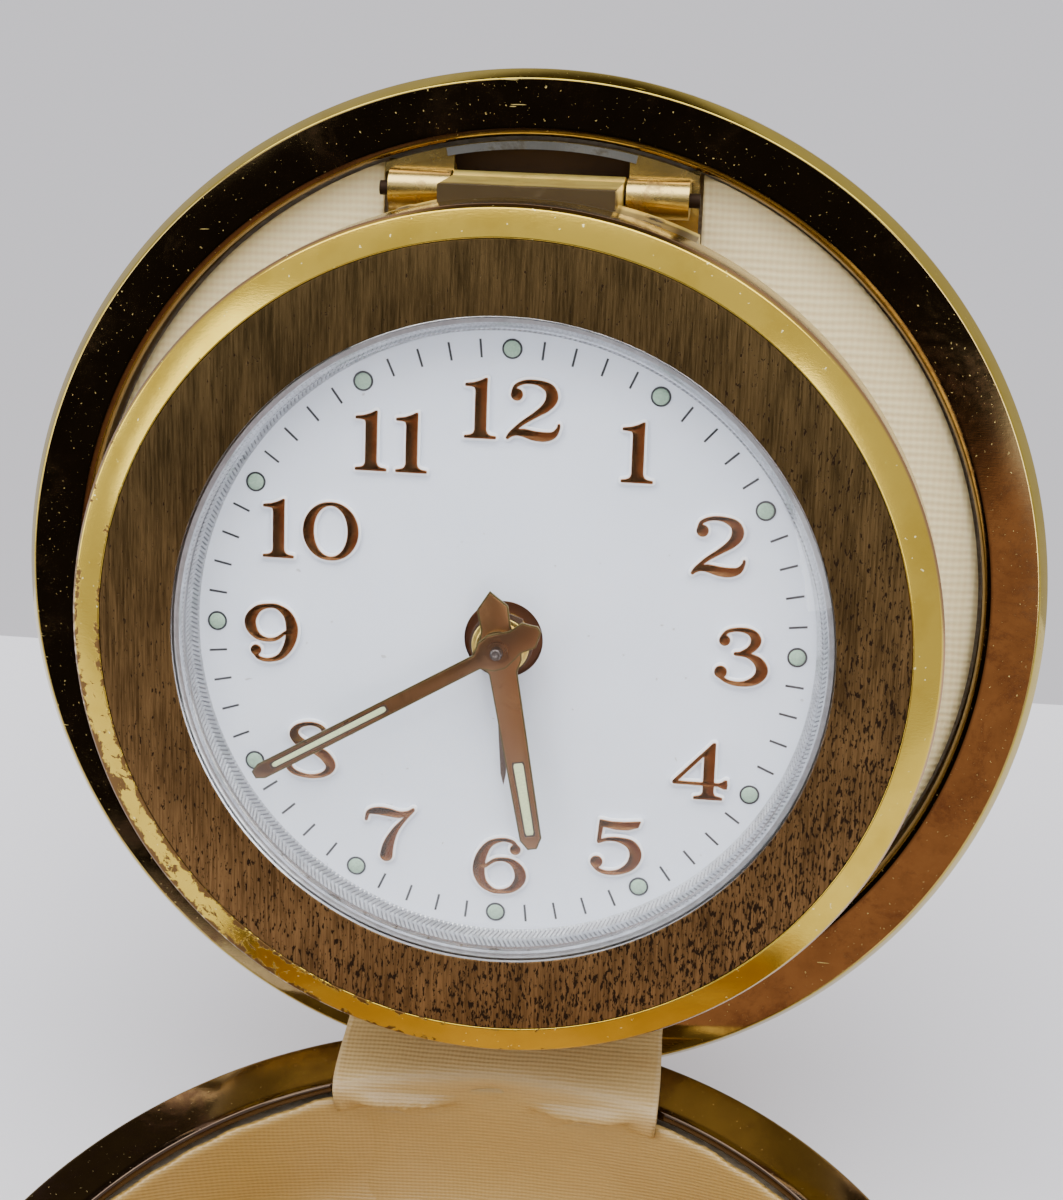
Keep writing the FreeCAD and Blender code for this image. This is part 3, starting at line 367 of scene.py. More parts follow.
def card():
    f = Finish("card", (0.42, 0.34, 0.25), roughness=0.85)
    fibre = f.noise(0.5, 8, 0.75, stretch=(3, 1, 1))
    f.put("Base Color", f.shades(fibre, 0.35, 0.7, (0.33, 0.26, 0.18), (0.50, 0.41, 0.30)))
    f.bump(fibre, 0.05)
    return f


def acrylic():
    """Clear plastic that lets light through to what is under it."""
    f = Finish("acrylic", (1.0, 1.0, 1.0), roughness=0.02, transmission_weight=1.0, ior=1.49)
    f.bump(f.noise(1.4, 3), 0.0012)
    shadow = f.node("LightPath", {}, "Is Shadow Ray")
    clear = f.node("BsdfTransparent", {"Color": (0.97, 0.975, 0.98)})
    mixed = f.node("MixShader", {"Fac": shadow, 1: Value(f, f.shader.outputs["BSDF"]), 2: clear})
    f.feed(f.tree.nodes["Material Output"].inputs["Surface"], mixed)
    return f


# the reflector's ribs: how many, their slant, and each band's foot and height over the dial
RIBS, RIB_SLANT = 400, 1.2
LOW_BAND, HIGH_BAND = (0.12, 0.75), (1.05, 0.85)


def silvered():
    """Silver plate, with painted shade in the hollows between the reflector's slanted ribs."""
    f = Finish("silvered", (0.58, 0.59, 0.60), 0.9, 0.28)
    dull = f.noise(0.8, 6)
    plate_tone = f.shades(dull, 0.35, 0.7, (0.52, 0.53, 0.55), (0.64, 0.655, 0.68))
    turn = f.math("ARCTAN2", f.along("Y"), f.along("X")) * RIBS
    groove_shade = []
    for (foot, tall), slant in ((LOW_BAND, RIB_SLANT), (HIGH_BAND, -RIB_SLANT)):
        up = (f.along("Z") - foot) / tall
        wave = f.math("COSINE", turn + up * (slant * TURN))
        inside = f.step(up, 0.0, 0.08) * f.step(up, 1.0, 0.92)
        groove_shade.append(f.step(wave, -0.1, 0.9) * inside)
    # the hollows painted dark grey as painted shade
    f.put("Base Color", f.blend(f.larger(*groove_shade) * 0.8, plate_tone, (0.20, 0.20, 0.205)))
    f.bump(dull, 0.008)
    return f


def lacquer(name, color, shade, roughness):
    """Painted or moulded surface with a trace of orange peel and dust."""
    f = Finish(name, color, roughness=roughness, specular_ior_level=0.45)
    f.put("Base Color", f.shades(f.noise(7.0, 5), 0.3, 0.75, shade, color))
    f.put("Roughness", f.between(f.noise(1.5, 5), roughness * 0.85, roughness * 1.15))
    f.bump(f.noise(0.12, 3), 0.004)
    return f


def dial_lacquer():
    """Satin white lacquer over faint upright brushing, with a few dust specks."""
    f = Finish("dial_lacquer", (0.78, 0.79, 0.82), roughness=0.34, specular_ior_level=0.5)
    silk = f.noise(0.22, stretch=(1, 30, 1))
    tone = f.shades(f.noise(9.0, 3), 0.3, 0.7, (0.75, 0.80, 0.90), (0.79, 0.835, 0.93))
    tone = f.blend(f.step(silk, 0.3, 0.75) * 0.35, tone, (0.85, 0.86, 0.88))
    speck = f.step(f.noise(0.55, 2, 0.3), 0.775, 0.80)
    f.put("Base Color", f.blend(speck * 0.5, tone, (0.35, 0.33, 0.31)))
    f.bump(silk, 0.006)
    return f


def numeral_copper():
    """Polished copper-gold with small flecks worn through."""
    f = Finish("numeral_copper", (0.50, 0.24, 0.10), 1.0, 0.1)
    fleck = f.step(f.noise(0.35, 6, 0.7), 0.68, 0.74)
    tone = f.shades(f.noise(1.6), 0.35, 0.7, (0.34, 0.15, 0.055), (0.44, 0.22, 0.09))
    f.put("Base Color", f.blend(fleck, tone, (0.20, 0.11, 0.06)))
    f.put("Roughness", f.between(fleck, 0.13, 0.45))
    f.bump(f.noise(0.25), 0.012)
    return f


def luminous(name, light, dark):
    f = Finish(name, light, roughness=0.7)
    grain = f.noise(0.16, 6, 0.7)
    f.put("Base Color", f.shades(grain, 0.35, 0.68, dark, light))
    f.bump(grain, 0.03)
    return f


LOOKS = {
    "polished_brass": rim_brass("lid_rim_brass", 0.0),
    # the base's rim: the same brass darkened by 0.72 as painted shade
    "base_rim_brass": rim_brass("base_rim_brass", 0.72),
    "bezel_brass": bezel_brass(),
    "brushed_bronze": brushed_bronze(),
    "leaf_brass": leaf_brass(),
    "case_cover": leathercloth(),
    "case_shell": metal("pressed_sheet", (0.55, 0.45, 0.27), (0.30, 0.22, 0.12), 0.4),
    "lining_cloth": woven("lid_cloth", (1.0, 0.88, 0.52), (0.91, 0.74, 0.40), 0.62, soiled=0.06),
    "base_cloth": woven("base_cloth", (0.47, 0.30, 0.09), (0.43, 0.26, 0.08), 0.42, 0.34, 0.4,
                        threads=lining_threads),
    "strap_cloth": woven("strap_cloth", (0.56, 0.40, 0.18), (0.49, 0.335, 0.145), 0.42, 0.34, 0.4,
                         threads=strap_threads),
    "liner_board": card(),
    "crystal_acrylic": acrylic(),
    "reflector_silver": silvered(),
    "dial_white": dial_lacquer(),
    "numeral_copper": numeral_copper(),
    "lume_green": luminous("lume_green", (0.40, 0.56, 0.42), (0.30, 0.44, 0.32)),
    "lume_cream": luminous("lume_cream", (0.66, 0.74, 0.42), (0.52, 0.60, 0.32)),
}
GOLD, GOLD_DARK = (0.80, 0.58, 0.16), (0.38, 0.22, 0.06)
# name: bright colour, worn colour, roughness, then wear, streaks and scratch depth where they differ
METALS = {
    "plated_steel": ((0.60, 0.44, 0.15), (0.26, 0.16, 0.065), 0.24, 0.55, (1, 6, 1), 0.008),
    "bare_steel": ((0.58, 0.57, 0.55), (0.22, 0.19, 0.16), 0.25),
    "gilt_brass": (GOLD, GOLD_DARK, 0.2, 0.64),
    "back_plate": ((0.70, 0.50, 0.15), (0.34, 0.20, 0.06), 0.3, 0.56, (40, 1, 1), 0.014),
    "drum_gilt": ((0.50, 0.36, 0.10), (0.28, 0.16, 0.05), 0.22, 0.64),
    "hand_gilt": ((0.33, 0.165, 0.07), (0.20, 0.095, 0.04), 0.3, 0.55, (1, 12, 1), 0.01),
    # a darker copy of the hour hand's gilt: painted shade on the minute hand and its pinion
    "minute_gilt": ((0.23, 0.115, 0.05), (0.13, 0.065, 0.03), 0.28, 0.55, (1, 12, 1), 0.01),
    "pin_steel": ((0.13, 0.11, 0.10), (0.05, 0.04, 0.035), 0.3),
    "hand_edge": ((0.15, 0.115, 0.045), (0.06, 0.04, 0.02), 0.3),
    # dark browned steel for the hinge pin, and painted shade for the sheet inside the bracket
    "browned_steel": ((0.035, 0.022, 0.015), (0.02, 0.013, 0.01), 0.6),
    "movement_brass": ((0.76, 0.60, 0.28), (0.45, 0.31, 0.13), 0.24, 0.66),
    "movement_steel": ((0.60, 0.61, 0.63), (0.30, 0.29, 0.29), 0.2, 0.66),
    "key_brass": ((0.78, 0.58, 0.23), GOLD_DARK, 0.22, 0.6),
    "well_brown": ((0.17, 0.075, 0.045), (0.08, 0.038, 0.022), 0.4),
    "sheared_steel": ((0.15, 0.155, 0.165), (0.08, 0.075, 0.07), 0.38, 0.5, (1, 6, 1), 0.02),
}
# name: colour, shade, roughness
PAINTS = {
    # near black: painted shade round the hands' luminous paint
    "hand_dark": ((0.10, 0.055, 0.038), (0.06, 0.034, 0.024), 0.4),
    "movement_plastic": ((0.70, 0.67, 0.60), (0.60, 0.57, 0.50), 0.5),
    "stop_button": ((0.03, 0.03, 0.03), (0.02, 0.02, 0.02), 0.35),
    "numeral_border": ((0.93, 0.94, 0.97), (0.90, 0.91, 0.95), 0.2),
    "minute_ink": ((0.045, 0.045, 0.05), (0.03, 0.03, 0.035), 0.45),
}
for make, values in ((metal, METALS), (lacquer, PAINTS)):
    LOOKS.update({name: make(name, *row) for name, row in values.items()})


# ---------------------------------------------------------------- mesh helpers
def welded(mesh, reach, lift=0.0):
    """Joins a mesh's near points and turns its faces outwards."""
    work = bmesh.new()
    work.from_mesh(mesh)
    bmesh.ops.remove_doubles(work, verts=work.verts, dist=reach)
    for vertex in work.verts:
        vertex.co.z += lift
    bmesh.ops.recalc_face_normals(work, faces=work.faces)
    work.to_mesh(mesh)
    work.free()


def finish_piece(name, mesh, look, matrix=BASE, body=None, stands_for=None, slot=None, smooth=35):
    mesh.materials.clear()
    mesh.materials.append(LOOKS[look].material)
    mesh.shade_smooth()
    mesh.set_sharp_from_angle(angle=math.radians(smooth))
    ob = linked(name, mesh)
    ob.matrix_world = matrix
    if body:
        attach(ob, body)
    if stands_for:
        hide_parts(stands_for)
    return ob


def piece(name, vertices, faces, look, matrix=BASE, **more):
    """A mesh piece from millimetre points in its own frame."""
    mesh = bpy.data.meshes.new(name)
    mesh.from_pydata([Vector(v) * MM for v in vertices], [], faces)
    mesh.update()
    welded(mesh, 1e-8)
    return finish_piece(name, mesh, look, matrix, **more)


def skin(sections, wrap=True, closed=False, hole=None):
    """Vertices and faces over rows of points. A row of one point is a pole, wrap joins each row's ends
    and closed joins the last row to the first. A face is left out where hole(row, column) is true."""
    count = max(len(section) for section in sections)
    vertices, rows = [], []
    for section in sections:
        start = len(vertices)
        vertices += section
        rows.append([start] * count if len(section) == 1 else list(range(start, start + count)))
    faces = []
    for j, (low, high) in enumerate(zip(rows, rows[1:] + (rows[:1] if closed else []))):
        for k in range(count if wrap else count - 1):
            n = (k + 1) % count
            face = tuple(dict.fromkeys((low[k], low[n], high[n], high[k])))
            if len(face) > 2 and not (hole and hole(j, k)):
                faces.append(face)
    return vertices, faces


def rounded(profile, steps=5):
    """Corners given as (r, z, radius) turned into arcs."""
    out = []
    for i, corner in enumerate(profile):
        if len(corner) == 2:
            out.append(tuple(corner))
            continue
        at = np.array(corner[:2], float)
        before = np.array(profile[i - 1][:2], float) - at
        after = np.array(profile[(i + 1) % len(profile)][:2], float) - at
        long_before, long_after = np.linalg.norm(before), np.linalg.norm(after)
        half = math.acos(max(-1.0, min(1.0, before @ after / (long_before * long_after)))) / 2
        back = min(corner[2] / math.tan(half), 0.49 * long_before, 0.49 * long_after)
        start, end = at + before / long_before * back, at + after / long_after * back
        for k in range(steps + 1):
            t = k / steps
            out.append(tuple((1 - t) ** 2 * start + 2 * t * (1 - t) * at + t * t * end))
    return out


def circle(radius, count=40, height=()):
    """Points round a circle, at a height where one is given."""
    turns = [TURN * k / count for k in range(count)]
    return [(radius * math.cos(a), radius * math.sin(a), *height) for a in turns]


def lathe(name, profile, look, matrix=BASE, segments=192, closed=True, **more):
    """A profile of (radius, height) turned about the frame's z."""
    sections = [circle(r, segments, (z,)) if r >= 1e-6 else [(0.0, 0.0, z)] for r, z in profile]
    return piece(name, *skin(sections, closed=closed), look, matrix, **more)


def baked(ob):
    """The mesh that an object's curve or modifiers make."""
    graph = bpy.context.evaluated_depsgraph_get()
    return bpy.data.meshes.new_from_object(ob.evaluated_get(graph))


def solidify(ob, thickness, offset=-1.0):
    """Gives an open sheet its thickness, in millimetres."""
    mod = ob.modifiers.new("thickness", "SOLIDIFY")
    mod.thickness = thickness * MM
    mod.offset = offset
    mod.use_even_offset = True
    mesh, old = baked(ob), ob.data
    ob.modifiers.clear()
    ob.data = mesh
    mesh.name = old.name
    bpy.data.meshes.remove(old)


def plate(name, outlines, look, low, high, matrix=BASE, bevel=0.03, rings=2, smooth=30, **more):
    """A flat piece between two heights, cut to closed outlines, the inner ones being holes."""
    curve = bpy.data.curves.new(name, "CURVE")
    curve.dimensions = "2D"
    curve.fill_mode = "BOTH"
    curve.extrude = ((high - low) / 2 - bevel) * MM
    curve.bevel_depth = bevel * MM
    curve.bevel_resolution = rings
    curve.offset = -bevel * MM
    for outline in outlines:
        spline = curve.splines.new("POLY")
        spline.points.add(len(outline) - 1)
        for point, (x, y) in zip(spline.points, outline):
            point.co = (x * MM, y * MM, 0, 1)
        spline.use_cyclic_u = True
    holder = linked(name + "_outline", curve)
    mesh = baked(holder)
    bpy.data.objects.remove(holder)
    bpy.data.curves.remove(curve)
    welded(mesh, 2e-7, (high + low) / 2 * MM)
    return finish_piece(name, mesh, look, matrix, smooth=smooth, **more)


def join(name, objects):
    """Several pieces of one material as one object."""
    first = objects[0]
    bpy.ops.object.select_all(action="DESELECT")
    for ob in objects:
        ob.select_set(True)
    bpy.context.view_layer.objects.active = first
    bpy.ops.object.join()
    first.name = name
    first.data.name = name
    bpy.ops.object.select_all(action="DESELECT")
    return first


def clamp(value):
    return max(0.0, min(1.0, value))


# ---------------------------------------------------------------- numerals
def smooth_path(points, steps=14, closed=False):
    """Points (x, y, width) with a smooth curve through them."""
    pts = [np.array(p, float) for p in points]
    n = len(pts)
    out = []
    for i in range(n if closed else n - 1):
        if closed:
            p0, p1, p2, p3 = pts[i - 1], pts[i], pts[(i + 1) % n], pts[(i + 2) % n]
        else:
            p0, p1, p2, p3 = pts[max(i - 1, 0)], pts[i], pts[i + 1], pts[min(i + 2, n - 1)]
        for k in range(steps):
            t = k / steps
            bend = (2 * p0 - 5 * p1 + 4 * p2 - p3) * t * t
            out.append(0.5 * (2 * p1 + (p2 - p0) * t + bend + (3 * p1 - 3 * p2 + p3 - p0) * t ** 3))
    if not closed:
        out.append(pts[-1])
    return out


SIX = [("path", [(1.2, 1.62, .2), (.85, 1.98, .2), (.1, 2.08, .22), (-.8, 1.7, .42), (-1.4, .75, .7),
                 (-1.6, -.4, .82), (-1.3, -1.4, .6), (-.6, -1.98, .34), (.1, -2.08, .26), (.95, -1.8, .46),
                 (1.5, -1.1, .74), (1.5, -.4, .74), (1.05, .25, .46), (.35, .52, .24), (-.4, .42, .2),
                 (-1.1, -.1, .16)]),
       ("ball", (1.12, 1.36, .36))]
DIGITS = {
    "0": [("loop", [(1.66 * math.sin(a), 2.04 * math.cos(a), .2 + .54 * abs(math.sin(a)) ** 1.7)
                    for a in [TURN * k / 24 for k in range(24)]])],
    "1": [("shape", [(.42, 2.17), (.4, 1.5), (.4, -1.6), (.52, -1.86), (.72, -1.98), (1.12, -2.04),
                     (1.12, -2.17), (-1.12, -2.17), (-1.12, -2.04), (-.72, -1.98), (-.5, -1.86),
                     (-.38, -1.6), (-.38, 1.3), (-.46, 1.52), (-.7, 1.58), (-1.12, 1.6), (-1.12, 1.73),
                     (-.5, 1.82), (0., 2.), (.3, 2.17)])],
    "2": [("path", [(-1.5, 1.25, .2), (-1.3, 1.75, .2), (-.6, 2.06, .22), (.3, 2.03, .32), (1.1, 1.65, .64),
                    (1.3, 1.0, .8), (.95, .35, .6), (.2, -.25, .36), (-.8, -.95, .24), (-1.55, -1.65, .2),
                    (-1.8, -2.02, .18)]),
          ("path", [(-1.75, -1.95, .16), (-1.3, -1.68, .3), (-.7, -1.62, .5), (.1, -1.8, .62),
                    (.9, -1.84, .6), (1.5, -1.66, .4), (1.82, -1.2, .18), (1.86, -.95, .14)]),
          ("ball", (-1.22, 1.12, .4))],
    "3": [("path", [(-1.45, 1.35, .2), (-1.05, 1.85, .2), (-.2, 2.05, .24), (.65, 1.88, .44),
                    (1.05, 1.32, .68), (.75, .68, .5), (.05, .3, .22), (-.4, .22, .18)]),
          ("path", [(-.4, .22, .18), (.5, .15, .3), (1.3, -.3, .62), (1.58, -1.0, .8), (1.15, -1.68, .6),
                    (.2, -2.02, .3), (-.8, -1.92, .22), (-1.62, -1.42, .2)]),
          ("ball", (-1.22, 1.18, .36)), ("ball", (-1.4, -1.2, .42))],
    "4": [("shape", [(.98, 2.17), (.98, -1.65), (1.1, -1.9), (1.65, -2.04), (1.65, -2.17), (-.42, -2.17),
                     (-.42, -2.04), (.1, -1.9), (.24, -1.65), (.24, 1.4)]),
          ("path", [(.86, 2.06, .2), (-.5, .6, .2), (-1.92, -.94, .2)]),
          ("path", [(-1.92, -.98, .18), (0., -1.0, .18), (1.9, -1.0, .18)]),
          ("shape", [(1.3, -1.08), (1.72, -1.28), (1.96, -1.28), (1.96, -.66), (1.8, -.66), (1.6, -.84),
                     (1.3, -.92)])],
    "5": [("shape", [(-1.22, 2.12), (-.4, 2.0), (.6, 2.0), (1.78, 2.14), (1.62, 1.7), (.9, 1.46),
                     (0., 1.44), (-1.0, 1.62), (-1.16, .42), (-1.36, .42)]),
          ("path", [(-1.26, .38, .16), (-.6, .62, .2), (.25, .62, .32), (1.15, .28, .64), (1.52, -.5, .82),
                    (1.2, -1.35, .66), (.4, -1.9, .36), (-.5, -2.05, .24), (-1.2, -1.86, .2),
                    (-1.62, -1.45, .2)]),
          ("ball", (-1.38, -1.22, .42))],
    "6": SIX,
    "7": [("path", [(1.78, 2.0, .14), (1.05, 1.15, .22), (.4, .25, .42), (-.05, -.8, .72),
                    (-.22, -1.72, .88)]),
          ("path", [(-1.78, 1.05, .14), (-1.6, 1.62, .26), (-1.0, 1.78, .5), (-.2, 1.74, .58),
                    (.7, 1.6, .44), (1.35, 1.78, .22), (1.78, 2.08, .14)])],
    "8": [("loop", [(0., .24, .55), (-.85, .68, .64), (-1.2, 1.25, .58), (-.8, 1.84, .3), (.1, 2.07, .2),
                    (.88, 1.85, .24), (1.16, 1.3, .34), (.75, .66, .22), (0., .2, .2), (-1.0, -.28, .3),
                    (-1.6, -1.05, .44), (-1.25, -1.76, .34), (0., -2.07, .22), (1.15, -1.8, .36),
                    (1.62, -1.15, .64), (1.2, -.42, .72), (.5, .02, .6)])],
    "9": [("path", [(-x, -y, w) for x, y, w in SIX[0][1]]), ("ball", (-1.12, -1.36, .36))],
}
DIGIT_WIDTH = dict(zip("0123456789", (4.1, 2.24, 3.9, 3.9, 3.9, 3.8, 3.8, 3.7, 3.8, 3.8)))


def polygon_field(x, y, shape):
    """Signed distance to a polygon, negative inside."""
    best = np.full(x.shape, 1e9)
    inside = np.zeros(x.shape, bool)
    for (ax, ay), (bx, by) in zip(shape, shape[1:] + shape[:1]):
        ex, ey = bx - ax, by - ay
        t = np.clip(((x - ax) * ex + (y - ay) * ey) / (ex * ex + ey * ey), 0, 1)
        best = np.minimum(best, np.hypot(x - ax - t * ex, y - ay - t * ey))
        cross = (ay > y) != (by > y)
        with np.errstate(divide="ignore", invalid="ignore"):
            inside ^= cross & (x < (y - ay) * ex / (ey if ey else 1e-12) + ax)
    return np.where(inside, -best, best)


def digit_field(x, y, parts):
    """Signed distance to a digit's strokes, negative in the metal."""
    field = np.full(x.shape, 1e9)
    for kind, shape in parts:
        if kind == "shape":
            field = np.minimum(field, polygon_field(x, y, shape))
            continue
        if kind == "ball":
            discs = [(shape[0], shape[1], 2 * shape[2])]
        else:
            discs = smooth_path(shape, closed=kind == "loop")
        for cx, cy, width in discs:
            field = np.minimum(field, np.hypot(x - cx, y - cy) - width / 2)
    return field


def contours(field, xs, ys, level):
    """Closed outlines of a field at a level, by marching squares."""
    ends = {}
    low = field < level
    mixed = low[:-1, :-1].astype(int) + low[1:, :-1] + low[:-1, 1:] + low[1:, 1:]
    for j, i in zip(*np.nonzero((mixed > 0) & (mixed < 4))):
        corners = [(j, i), (j, i + 1), (j + 1, i + 1), (j + 1, i)]
        crossing = []
        for a, b in zip(corners, corners[1:] + corners[:1]):
            if low[a] != low[b]:
                crossing.append((min(a, b), max(a, b), bool(low[a])))
        if len(crossing) == 4 and not low[corners[0]]:
            crossing = crossing[1:] + crossing[:1]
        for k in range(0, len(crossing), 2):
            first, second = crossing[k], crossing[k + 1]
            if not first[2]:
                first, second = second, first
            ends[first[:2]] = second[:2]
    outlines = []
    while ends:
        start = next(iter(ends))
        loop, at = [], start
        while at in ends:
            (ja, ia), (jb, ib) = at
            t = (level - field[ja, ia]) / (field[jb, ib] - field[ja, ia])
            loop.append((xs[ia] + t * (xs[ib] - xs[ia]), ys[ja] + t * (ys[jb] - ys[ja])))
            at = ends.pop(at)
        if len(loop) > 8:
            outlines.append(thinned(loop))
    return outlines


def thinned(loop, spacing=0.045):
    """The outline with even steps and the grid's small steps smoothed away."""
    pts = np.array(loop)
    for _ in range(2):
        pts = 0.5 * pts + 0.25 * (np.roll(pts, 1, 0) + np.roll(pts, -1, 0))
    out = [pts[0]]
    for p in pts[1:]:
        if np.hypot(*(p - out[-1])) >= spacing:
            out.append(p)
    return [tuple(p) for p in out]


GRID = 0.03
XS = np.arange(-2.5, 2.5 + GRID, GRID)
YS = np.arange(-2.7, 2.7 + GRID, GRID)
MESH_X, MESH_Y = np.meshgrid(XS, YS)
FACE, BORDER = 0.05, 0.24
GLYPHS = {}
for digit, parts in DIGITS.items():
    field = digit_field(MESH_X, MESH_Y, parts)
    GLYPHS[digit] = (contours(field, XS, YS, FACE), contours(field, XS, YS, BORDER))

# hour: (distance from the centre, direction clockwise from twelve)
HOURS = {1: (17.2, 32.6), 2: (17.3, 62.6), 3: (17.35, 90.4), 4: (17.4, 121.1), 5: (17.8, 150.1),
         6: (17.55, 179.1), 7: (17.65, 207.5), 8: (17.15, 236.5), 9: (17.3, 268.1), 10: (16.15, 297.3),
         11: (16.65, 329.2), 12: (17.1, 0.7)}
DIGIT_GAP = 0.72
for hour, (distance, direction) in HOURS.items():
    text = str(hour)
    angle = math.radians(direction)
    across, up = distance * math.sin(angle), distance * math.cos(angle)
    left = across - (sum(DIGIT_WIDTH[c] for c in text) + DIGIT_GAP * (len(text) - 1)) / 2
    faces_at, borders_at = [], []
    for c in text:
        middle = left + DIGIT_WIDTH[c] / 2
        for outlines, into in zip(GLYPHS[c], (faces_at, borders_at)):
            into += [[(middle + x, up + y) for x, y in loop] for loop in outlines]
        left += DIGIT_WIDTH[c] + DIGIT_GAP
    for name, outlines, look, low, high, bevel in (
            ("numeral", faces_at, "numeral_copper", 0.05, 0.42, 0.05),
            ("numeral_edge", borders_at, "numeral_border", 0.0, 0.32, 0.1)):
        plate(f"{name}_{hour}", outlines, look, low, high, DRUM, bevel=bevel, body="drum", smooth=60)


# ---------------------------------------------------------------- dial
def turned_to(angle):
    """A frame on the dial turned clockwise by an angle in degrees."""
    return DRUM @ Matrix.Rotation(-math.radians(angle), 4, "Z")


TICK_IN, TICK_OUT, TICK_HALF = 20.8, 22.15, 0.085
ticks = []
for minute in range(60):
    if minute % 5:
        a = TURN * minute / 60
        c, s = math.cos(a), math.sin(a)
        corners = [(-TICK_HALF, TICK_IN), (TICK_HALF, TICK_IN), (TICK_HALF, TICK_OUT), (-TICK_HALF, TICK_OUT)]
        ticks.append([(x * c + y * s, -x * s + y * c) for x, y in corners])
plate("minute_marks", ticks, "minute_ink", 0.0, 0.02, DRUM, bevel=0.004, rings=0, body="drum",
      slot="dial_white")


def dome(radius, low, high, steps=6):
    """Half profile of a shallow domed dot."""
    turns = [math.pi / 2 * k / steps for k in range(steps)]
    top = [(radius * math.cos(a), low + (high - low) * math.sin(a)) for a in turns]
    return [(0, low - 0.02), (radius, low - 0.02)] + top + [(0, high)]


DOT_AT = 21.42
DOT_RING = rounded([(0.56, 0.0), (0.74, 0.0), (0.74, 0.07, 0.03), (0.56, 0.07)])
dots, rings = [], []
for hour in range(12):
    at = turned_to(30 * hour) @ Matrix.Translation((0, DOT_AT * MM, 0))
    dots.append(lathe("dot", dome(0.6, 0.05, 0.24), "lume_green", at, 28, closed=False))
    rings.append(lathe("ring", DOT_RING, "minute_ink", at, 28))
for name, parts in (("hour_dots", dots), ("dot_outlines", rings)):
    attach(join(name, parts), "drum")

WELL = [(2.94, -0.02), (2.98, -0.02), (2.98, -0.42), (1.95, -0.42), (1.95, -0.36), (2.8, -0.36, 0.1),
        (2.88, -0.02, 0.04)]
HOUR_BOSS = [(1.42, 1.52), (2.1, 1.52, 0.06), (2.1, 1.8, 0.08), (1.75, 1.86, 0.05), (1.75, 2.2, 0.06),
             (1.42, 2.2)]
MINUTE_BOSS = [(0.5, 3.28), (0.6, 3.28), (0.6, 3.36, 0.03), (0.5, 3.36)]
ARBOR_END = [(0, 3.88), (0.42, 3.88), (0.42, 4.2), (0.38, 4.26), (0.3, 4.3), (0.16, 4.3), (0.1, 4.24),
             (0, 4.2)]
lathe("dial_well", rounded(WELL), "well_brown", DRUM, 72, body="drum")
lathe("hour_boss", rounded(HOUR_BOSS), "gilt_brass", DRUM, 72, body="hour_works")
lathe("minute_boss", rounded(MINUTE_BOSS), "hand_edge", DRUM, 48, body="minute_works")
lathe("arbor_tip", ARBOR_END, "pin_steel", DRUM, 36, closed=False, body="minute_works", smooth=50)


# ---------------------------------------------------------------- hands
def bar(half_in, half_out, start, end, tip=0.2):
    """A tapered bar along the hand with chamfered ends."""
    cut = tip * .4
    return [(-half_in, start + tip), (-half_in + cut, start), (half_in - cut, start), (half_in, start + tip),
            (half_out, end - tip), (half_out - cut, end), (-half_out + cut, end), (-half_out, end - tip)]


def clock_hand(name, node, body, angle, outline, eye, slot_bar, fill_bar, low, high, look):
    """A flat hand with dark sheared edges, a centre hole and luminous paint in a slot near its tip, ringed by
    painted shade.
    """
    at, grown = turned_to(angle), bar_grown(slot_bar, 0.02)
    common = {"body": body, "slot": "hand_gilt"}
    plate(name, [shrunk(outline, 0.12), circle(eye), slot_bar], look, high - 0.1, high, at,
          stands_for=node, **common)
    plate(name + "_edge", [outline, circle(eye + 0.02), grown], "hand_edge", low, high - 0.03, at, bevel=0.04,
          smooth=40, **common)
    plate(name + "_lume", [fill_bar], "lume_cream", low + 0.02, high - 0.05, at, bevel=0.02, **common)
    # a near-black rim round the luminous paint: painted shade in the slot's gap
    plate(name + "_lume_edge", [grown, fill_bar], "hand_dark", low + 0.02, high - 0.11, at, bevel=0.01,
          **common)


def shrunk(outline, by):
    """An outline moved inwards by a distance, corner by corner."""
    count = len(outline)
    area = sum(outline[i - 1][0] * outline[i][1] - outline[i][0] * outline[i - 1][1] for i in range(count))
    inwards = 1 if area > 0 else -1
    out = []
    for i in range(count):
        before, here, after = (Vector(outline[(i + k) % count]) for k in (-1, 0, 1))
        first, second = (here - before).normalized(), (after - here).normalized()
        n1, n2 = (Vector((-d.y, d.x)) * inwards for d in (first, second))
        corner = (n1 + n2).normalized()
        out.append(tuple(here + corner * by / max(0.4, corner.dot(n1))))
    return out


def bar_grown(outline, by):
    middle_x, middle_y = (sum(p[k] for p in outline) / len(outline) for k in (0, 1))
    return [(x + math.copysign(by, x - middle_x), y + math.copysign(by, y - middle_y)) for x, y in outline]


MINUTE_LONG, HOUR_LONG = 21.0, 15.6
minute_outline = [(-.58, 1.8), (-1.2, 1.0), (-1.4, .1), (-1.15, -.8), (-.92, -1.45), (-1.05, -2.6),
                  (-.25, -3.5), (.25, -3.5), (1.05, -2.6), (.92, -1.45), (1.15, -.8), (1.4, .1), (1.2, 1.0),
                  (.58, 1.8), (.62, MINUTE_LONG - .7), (.3, MINUTE_LONG), (-.3, MINUTE_LONG),
                  (-.62, MINUTE_LONG - .7)]
